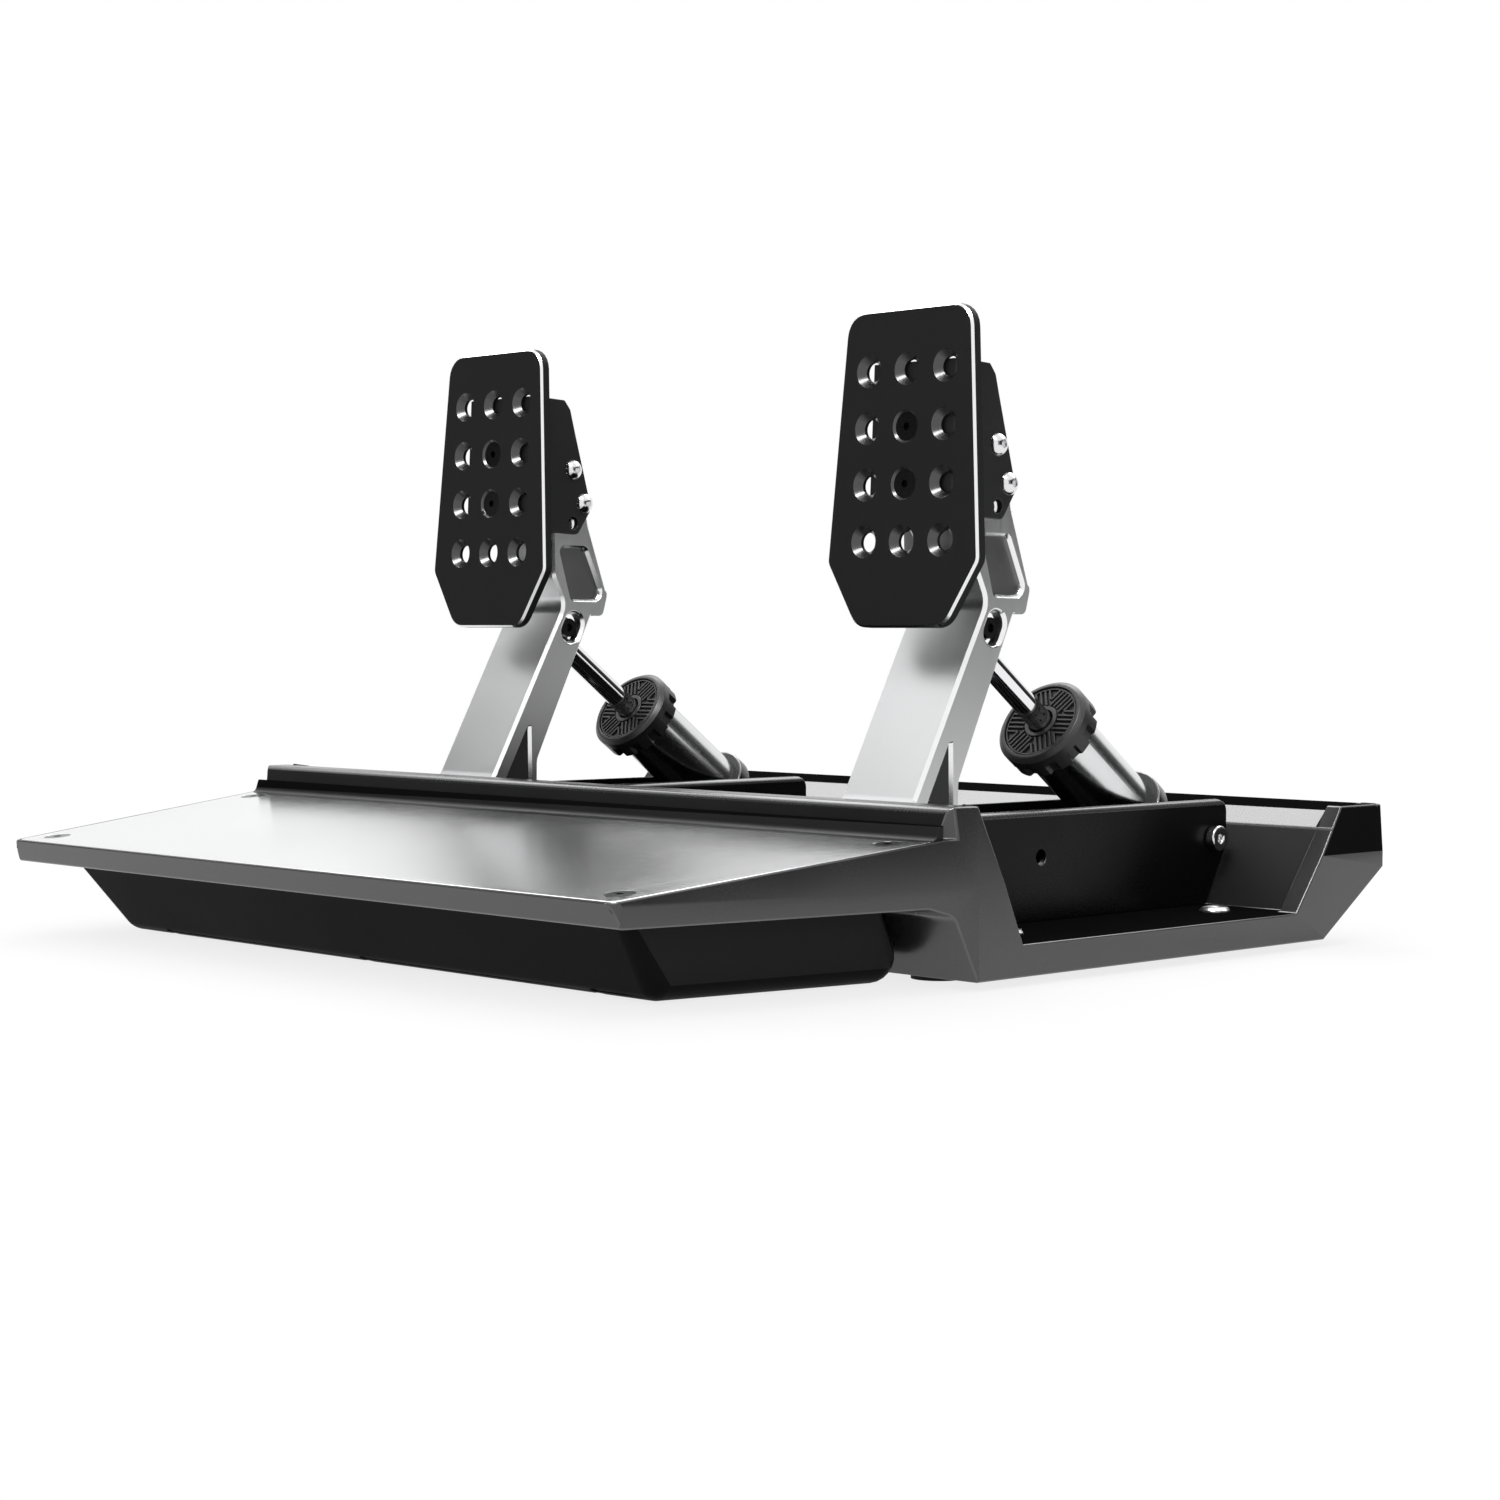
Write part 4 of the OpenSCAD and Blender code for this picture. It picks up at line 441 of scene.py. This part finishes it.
for p in pedals:
    lo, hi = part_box(p + "_plate")
    centre = (lo + hi) / 2
    bm = cad_copy(p + "_plate")
    bmesh.ops.dissolve_limit(bm, angle_limit=radians(0.6), verts=bm.verts, edges=bm.edges)
    bmesh.ops.transform(bm, matrix=upright, verts=bm.verts)
    front = min(v.co.y for v in bm.verts)
    outline = []
    for e in bm.edges:
        on_front = all(abs(v.co.y - front) < 0.01 * mm for v in e.verts)
        side = [f.normal for f in e.link_faces if abs(f.normal.y) < 0.1]
        if on_front and side and len(e.link_faces) == 2 and e.calc_face_angle(0.0) > square_angle:
            middle = (e.verts[0].co + e.verts[1].co) / 2
            outwards = Vector((middle.x - centre.x, 0, middle.z - centre.z))
            if side[0].dot(outwards) > 0:
                outline.append(e)
    for f in bm.faces:
        if -0.95 < f.normal.y < -0.2:
            f.material_index = plate_finishes.index(dish_black)
    for f in bevel(bm, outline, plate_cut, segments=1):
        f.material_index = plate_finishes.index(cut_bright)
    bmesh.ops.transform(bm, matrix=upright.inverted(), verts=bm.verts)
    put(bm, p + "_perforated_plate", p + "_pedal", plate_finishes, [p + "_plate"], sharp=25.0)
    paint(p + "_plate_screws", black_screw)
    paint(p + "_plate_nuts", screw_steel)

# Damper rods
# A hard chromed rod with a cross-drilled eye. A pin and two spacers hold it in the arm's window, and a bronze
# piston rides in the cylinder.
chrome = surface("hard_chrome", (0.86, 0.86, 0.87), 0.08, metallic=1.0, grain=(3000.0, 0.001 * mm),
                 mottle=(120.0, 0.02), swing=0.02)
for p in pedals:
    paint(p + "_rod", chrome)
    paint(p + "_rod_pin", black_screw)
    paint(p + "_rod_spacers", black_screw)
    paint(p + "_piston", bronze)

# Damper caps
# A black moulded nut closes each cylinder. Its rim has twelve grip notches and its face is stiffened by
# short ribs in six groups round a hub, inside two thin rings.
cap_plastic = surface("cap_moulding", (0.015, 0.015, 0.015), 0.36, grain=(1700.0, 0.015 * mm),
                      mottle=(60.0, 0.15), rub=((0.05, 0.05, 0.05), 0.3))
cap_r, cap_low, cap_top = 18.4 * mm, 70.0 * mm, 80.5 * mm
tube_r, rod_hole_r, wide_r, thin_r, hub_r = 14.1 * mm, 4.55 * mm, 15.3 * mm, 14.3 * mm, 5.1 * mm
thin_w, hub_w, step = 0.5 * mm, 1.7 * mm, 0.2 * mm
low_edge, notch_h, shoulder_h = 0.6 * mm, 4.5 * mm, 5.8 * mm
crown_drop, crown_w, land_w = 1.7 * mm, 1.5 * mm, 2.0 * mm
thin_z, hub_z, face_z = cap_top - 0.5 * mm, cap_top - 0.4 * mm, cap_top - 1.3 * mm
throat_z, roof_z = cap_top - 2.2 * mm, cap_top - 4.4 * mm
outside = [(tube_r, cap_low), (cap_r - low_edge, cap_low), (cap_r, cap_low + low_edge),
           (cap_r, cap_low + notch_h), (cap_r, cap_low + shoulder_h), (cap_r, cap_top - crown_drop),
           (cap_r - crown_w, cap_top - step), (cap_r - land_w, cap_top)]
wide_ring = [(wide_r + step, cap_top), (wide_r, cap_top - step), (wide_r, face_z)]
thin_ring = [(thin_r + thin_w, face_z), (thin_r + thin_w, thin_z), (thin_r, thin_z), (thin_r, face_z)]
hub = [(hub_r + hub_w, face_z), (hub_r + hub_w, hub_z), (hub_r + hub_w - step, cap_top - step),
       (hub_r + step, cap_top - step), (hub_r, hub_z)]
inside = [(rod_hole_r, throat_z), (rod_hole_r, roof_z), (tube_r, roof_z)]
notch_pitch, notch_share, notch_r = radians(30.0), 0.23, 16.6 * mm
notch_z = cap_low + (notch_h + shoulder_h) / 2
rib_w, rib_h, rib_lift, rib_end, rib_edge = 0.9 * mm, 1.1 * mm, 0.4 * mm, 14.5 * mm, 0.18 * mm
outer_from, inner_from = 9.8 * mm, 7.2 * mm
ribs = ((-4.8 * mm, outer_from), (-2.9 * mm, inner_from), (-1.0 * mm, inner_from), (1.0 * mm, inner_from),
        (2.9 * mm, inner_from), (4.8 * mm, outer_from))
# The damper's axis starts at the foot pin and leans forwards.
foot = Vector((0.0, 125.9 * mm, 37.9 * mm))
tilt = Matrix.Rotation(radians(54.05), 4, "X")


def from_notch(v):
    """How far round a point is from the middle of its notch, as a share of the pitch."""
    turns = Vector((1.0, 0.0)).angle_signed(v.co.xy) / notch_pitch
    return abs((turns + 0.5) % 1.0 - 0.5)


for p in pedals:
    lo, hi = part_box(p + "_damper_cap")
    bm = bmesh.new()
    lathe(bm, outside + wide_ring + thin_ring + hub + inside, 0.0, 0.0, 0.0, steps=144)
    merged(bm)
    for v in bm.verts:
        r = v.co.xy.length
        if r > notch_r and v.co.z < notch_z and from_notch(v) < notch_share:
            v.co.x = v.co.x * notch_r / r
            v.co.y = v.co.y * notch_r / r
    for group in range(6):
        for aside, start_r in ribs:
            start = sqrt(start_r ** 2 - aside ** 2)
            end = sqrt(rib_end ** 2 - aside ** 2)
            turn = Matrix.Rotation(group * pi / 3, 4, "Z")
            place = Matrix.Translation(((start + end) / 2, aside, face_z + rib_lift))
            size = Matrix.Diagonal((end - start, rib_w, rib_h, 1.0))
            rib = bmesh.ops.create_cube(bm, size=1.0, matrix=turn @ place @ size)
            edges = {e for v in rib["verts"] for e in v.link_edges}
            tops = [e for e in edges if all(v.co.z > face_z + rib_lift for v in e.verts)]
            bevel(bm, tops, rib_edge, segments=1)
    bmesh.ops.recalc_face_normals(bm, faces=bm.faces)
    seat = foot + Vector(((lo.x + hi.x) / 2, 0, 0))
    bmesh.ops.transform(bm, verts=bm.verts, matrix=Matrix.Translation(seat) @ tilt)
    put(bm, p + "_cap_nut", p + "_damper", [cap_plastic], [p + "_damper_cap"], sharp=30.0)

# Damper cylinders
# A polished aluminium tube between the cap and the eye, whose collar closes its lower end. The eye and its
# collar are one turned piece, anodised black.
polished = surface("polished_tube", (0.74, 0.745, 0.75), 0.2, metallic=1.0, grain=(500.0, 0.003 * mm),
                   mottle=(60.0, 0.04), swing=0.04)
dark_metal = surface("black_anodising", (0.06, 0.06, 0.062), 0.25, metallic=1.0, grain=(1500.0, 0.005 * mm),
                     mottle=(60.0, 0.1), rub=((0.3, 0.3, 0.3), 0.2))
for p in pedals:
    paint(p + "_cylinder", polished)
    put(softened(p + "_damper_eye", width=0.7 * mm), p + "_collar_eye", p + "_damper",
        [dark_metal], [p + "_damper_eye"])

# Inside the dampers
# The brake works against four rubber discs, and the throttle against a coil spring. Both stand on the
# cylinder's lower end, and the rod's piston presses them together.
elastomer = surface("elastomer", (0.25, 0.03, 0.03), 0.6, specular=0.3, grain=(900.0, 0.04 * mm),
                    mottle=(80.0, 0.15))
spring_steel = surface("spring_wire", (0.45, 0.45, 0.46), 0.25, metallic=1.0, grain=(2500.0, 0.005 * mm))
disc_low, spring_low = 22.1 * mm, 22.4 * mm
for p, part, name, slot, finish, low, keep in (
        ("brake", "_elastomers", "_rubber_discs", "elastomer", elastomer, disc_low, 0.7),
        ("throttle", "_spring", "_coil_spring", "spring_steel", spring_steel, spring_low, 0.44)):
    lo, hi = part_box(p + part)
    piece = put(cad_copy(p + part), p + name, p + "_damper", [finish], [p + part])
    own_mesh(piece)

# Foot blocks
# Machined blocks tie each damper's foot pin to the bracket. The brake's is its load cell, in bare
# aluminium, and the throttle's is black. A socket screw and nut pass through each.
put(softened("brake_load_cell", width=0.4 * mm), "load_cell_block", "base", [silver],
    ["brake_load_cell"])
put(softened("throttle_foot_block", width=0.4 * mm), "foot_block", "base", [sheet_black],
    ["throttle_foot_block"])
for p in pedals:
    paint(p + "_foot_pin", screw_steel)
put(softened("foot_bolts", width=0.9 * mm, segments=4), "foot_screws", "base", [bright_screw],
    ["foot_bolts"])


# Floor and backdrop
# A plain white table. The camera and the metal see it near white, and it keeps the object's soft shadow.
# The glow grows from the object outwards, so that the table's edge can't be told from the backdrop.
def staged(bm, name, finish):
    mesh = bpy.data.meshes.new(name)
    bm.to_mesh(mesh)
    bm.free()
    mesh.materials.append(finish)
    piece = bpy.data.objects.new(name, mesh)
    scene.collection.objects.link(piece)
    return piece


def most(owner, first, second):
    return node(owner, "Math", {"Value": first, "Value_001": second}, operation="MAXIMUM")["Value"]


table_r = 9.0
near, near_glow, far, far_glow = 0.45, 0.8, 1.3, 1.0
m = bpy.data.materials.new("white_table")
m.use_nodes = True
shader, out = m.node_tree.nodes["Principled BSDF"], m.node_tree.nodes["Material Output"]
shader.inputs["Roughness"].default_value = 0.9
shader.inputs["Specular IOR Level"].default_value = 0.1
place = node(m, "TexCoord", {})["Object"]
grain = node(m, "TexNoise", {"Vector": place, "Scale": 3.0})["Fac"]
tone = node(m, "MapRange", {"Value": grain, "To Min": 0.92, "To Max": 0.94})["Result"]
m.node_tree.links.new(tone, shader.inputs["Base Color"])
rays = node(m, "LightPath", {})
seen_or_mirrored = most(m, rays["Is Camera Ray"], rays["Is Glossy Ray"])
away = node(m, "VectorMath", {"Vector": place}, operation="LENGTH")["Value"]
share = node(m, "MapRange", {"Value": away, "From Min": near, "From Max": far, "To Min": near_glow,
                             "To Max": far_glow})["Result"]
lit = node(m, "Math", {"Value": seen_or_mirrored, "Value_001": share}, operation="MULTIPLY")["Value"]
glow = node(m, "Emission", {"Strength": 1.0})["Emission"]
table = node(m, "MixShader", {"Fac": lit, "Shader": shader.outputs[0], "Shader_001": glow})["Shader"]
m.node_tree.links.new(table, out.inputs["Surface"])
bm = bmesh.new()
bmesh.ops.create_circle(bm, cap_ends=True, segments=96, radius=table_r)
staged(bm, "floor", m)


# Studio cards
# Curved sheets of paper round the table, seen only in reflections, keep the metal from showing nothing but
# white. Their tone runs from dark to white, or past it. In a second reflection it is mid grey at most.
second_bounce, second_tone = 1.5, 0.5


def card(name, radius, heights, tones):
    """heights are (metres, share of white) and tones are (degrees round from the rear, tone)."""
    bm = bmesh.new()
    tone = bm.verts.layers.float.new("tone")
    rows = []
    for height, lift in heights:
        row = []
        for angle, value in tones:
            v = bm.verts.new((-radius * sin(radians(angle)), radius * cos(radians(angle)), height))
            v[tone] = value + (1.0 - value) * lift
            row.append(v)
        rows.append(row)
    for low, high in zip(rows, rows[1:]):
        for k in range(len(tones) - 1):
            bm.faces.new((low[k], low[k + 1], high[k + 1], high[k]))
    m = bpy.data.materials.new(name + "_paper")
    m.use_nodes = True
    shade = node(m, "Attribute", {}, attribute_name="tone")["Fac"]
    depth = node(m, "LightPath", {})["Ray Depth"]
    again = node(m, "Math", {"Value": depth, "Value_001": second_bounce}, operation="GREATER_THAN")["Value"]
    dim = node(m, "Math", {"Value": shade, "Value_001": second_tone}, operation="MINIMUM")["Value"]
    seen_tone = node(m, "Mix", {"Factor_Float": again, "A_Float": shade, "B_Float": dim})["Result_Float"]
    glow = node(m, "Emission", {"Color": seen_tone})["Emission"]
    m.node_tree.links.new(glow, m.node_tree.nodes["Material Output"].inputs["Surface"])
    piece = staged(bm, name, m)
    piece.visible_camera = False
    piece.visible_diffuse = False
    piece.visible_shadow = False
    piece.visible_transmission = False


card("right_flag", 2.2, ((0.0, 1.0), (0.05, 0.0), (1.2, 0.0), (1.5, 1.0)),
     ((-8.0, 1.0), (-14.0, 0.1), (-30.0, 0.02), (-90.0, 0.02), (-110.0, 0.3)))
card("left_flag", 2.2, ((0.2, 1.0), (0.3, 0.0), (1.17, 0.0), (1.35, 1.0)),
     ((97.0, 1.0), (105.0, 0.05), (165.0, 0.05), (172.0, 1.0)))
card("rear_card", 3.0, ((0.3, 1.0), (0.42, 0.0), (0.9, 0.0), (1.3, 1.0)),
     ((58.0, 1.0), (56.0, 0.85), (54.3, 0.35), (52.6, 0.0), (49.5, 0.0), (48.5, 0.25), (47.0, 0.55),
      (45.0, 0.68), (40.0, 0.6), (34.0, 0.7), (27.0, 1.0)))
bright, dish_bright = 5.0, 22.0
bright_stretch = [(angle, bright) for angle in (95.0, 72.0, 50.0, 30.0, 10.0, -10.0, -25.0)]
card("bright_card", 2.0, ((1.35, 1.0), (1.55, 0.0), (3.2, 0.0), (4.0, 1.0)),
     ((98.0, 1.0), *bright_stretch, (-40.0, 1.0)))
card("dish_card", 0.9, ((1.1, 1.0), (1.3, 0.0), (2.2, 0.0), (2.6, 1.0)),
     ((245.0, 1.0), (225.0, dish_bright), (185.0, dish_bright), (160.0, 1.0)))

# Light
# An even white surround and five soft boxes: behind, in front, overhead, at the right side, and a small one
# up to the left of the camera. No reflection shows the boxes themselves.
world = bpy.data.worlds.new("studio")
scene.world = world
world.use_nodes = True
sky, out = world.node_tree.nodes["Background"], world.node_tree.nodes["World Output"]
sky.inputs["Color"].default_value = (0.68, 0.68, 0.685, 1.0)
rays = node(world, "LightPath", {})
direct = most(world, rays["Is Camera Ray"], rays["Is Glossy Ray"])
clear = most(world, direct, rays["Is Transmission Ray"])
white = node(world, "Background", {"Color": (1.0, 1.0, 1.0, 1.0)})["Background"]
surround = node(world, "MixShader", {"Fac": clear, "Shader": sky.outputs[0], "Shader_001": white})["Shader"]
world.node_tree.links.new(surround, out.inputs["Surface"])
aim = Vector((0, 0, 0.08))
for name, size, power, at in (("rear_box", 1.2, 12.0, (-0.95, 1.0, 1.4)),
                              ("front_box", 1.2, 6.0, (-1.3, -1.5, 1.3)),
                              ("top_box", 1.4, 6.0, (0.3, -0.2, 1.9)),
                              ("side_box", 1.0, 9.0, (1.8, -0.3, 0.5)),
                              ("spot_box", 0.5, 2.5, (0.5, -1.64, 1.25))):
    lamp = bpy.data.lights.new(name, "AREA")
    lamp.size = size
    lamp.energy = power
    lamp_object = bpy.data.objects.new(name, lamp)
    scene.collection.objects.link(lamp_object)
    lamp_object.location = at
    lamp_object.rotation_euler = (aim - Vector(at)).to_track_quat("-Z", "Y").to_euler()
    lamp_object.visible_camera = False
    lamp_object.visible_glossy = False

# Camera
# It stands at the driver's right, a little above the deck, and looks 45 degrees to the left. Its lens and
# place were fitted to the plates' holes and the base's corners in the photograph.
azimuth, pitch, roll = radians(45.44), radians(2.27), radians(0.29)
camera_at = (0.78787, -0.73746, 0.1145)
ahead = Vector((-sin(azimuth) * cos(pitch), cos(azimuth) * cos(pitch), -sin(pitch)))
level = Vector((cos(azimuth), sin(azimuth), 0.0))
rising = level.cross(ahead)
right = cos(roll) * level + sin(roll) * rising
up = cos(roll) * rising - sin(roll) * level
camera = bpy.data.cameras.new("camera")
camera.sensor_width = 36.0
camera.lens = 67.06
camera.clip_start = 0.02
camera.clip_end = 40.0
camera_object = bpy.data.objects.new("camera", camera)
scene.collection.objects.link(camera_object)
facing = Matrix((right, up, -ahead)).transposed().to_4x4()
camera_object.matrix_world = Matrix.Translation(camera_at) @ facing
scene.camera = camera_object
scene.view_settings.view_transform = "Standard"
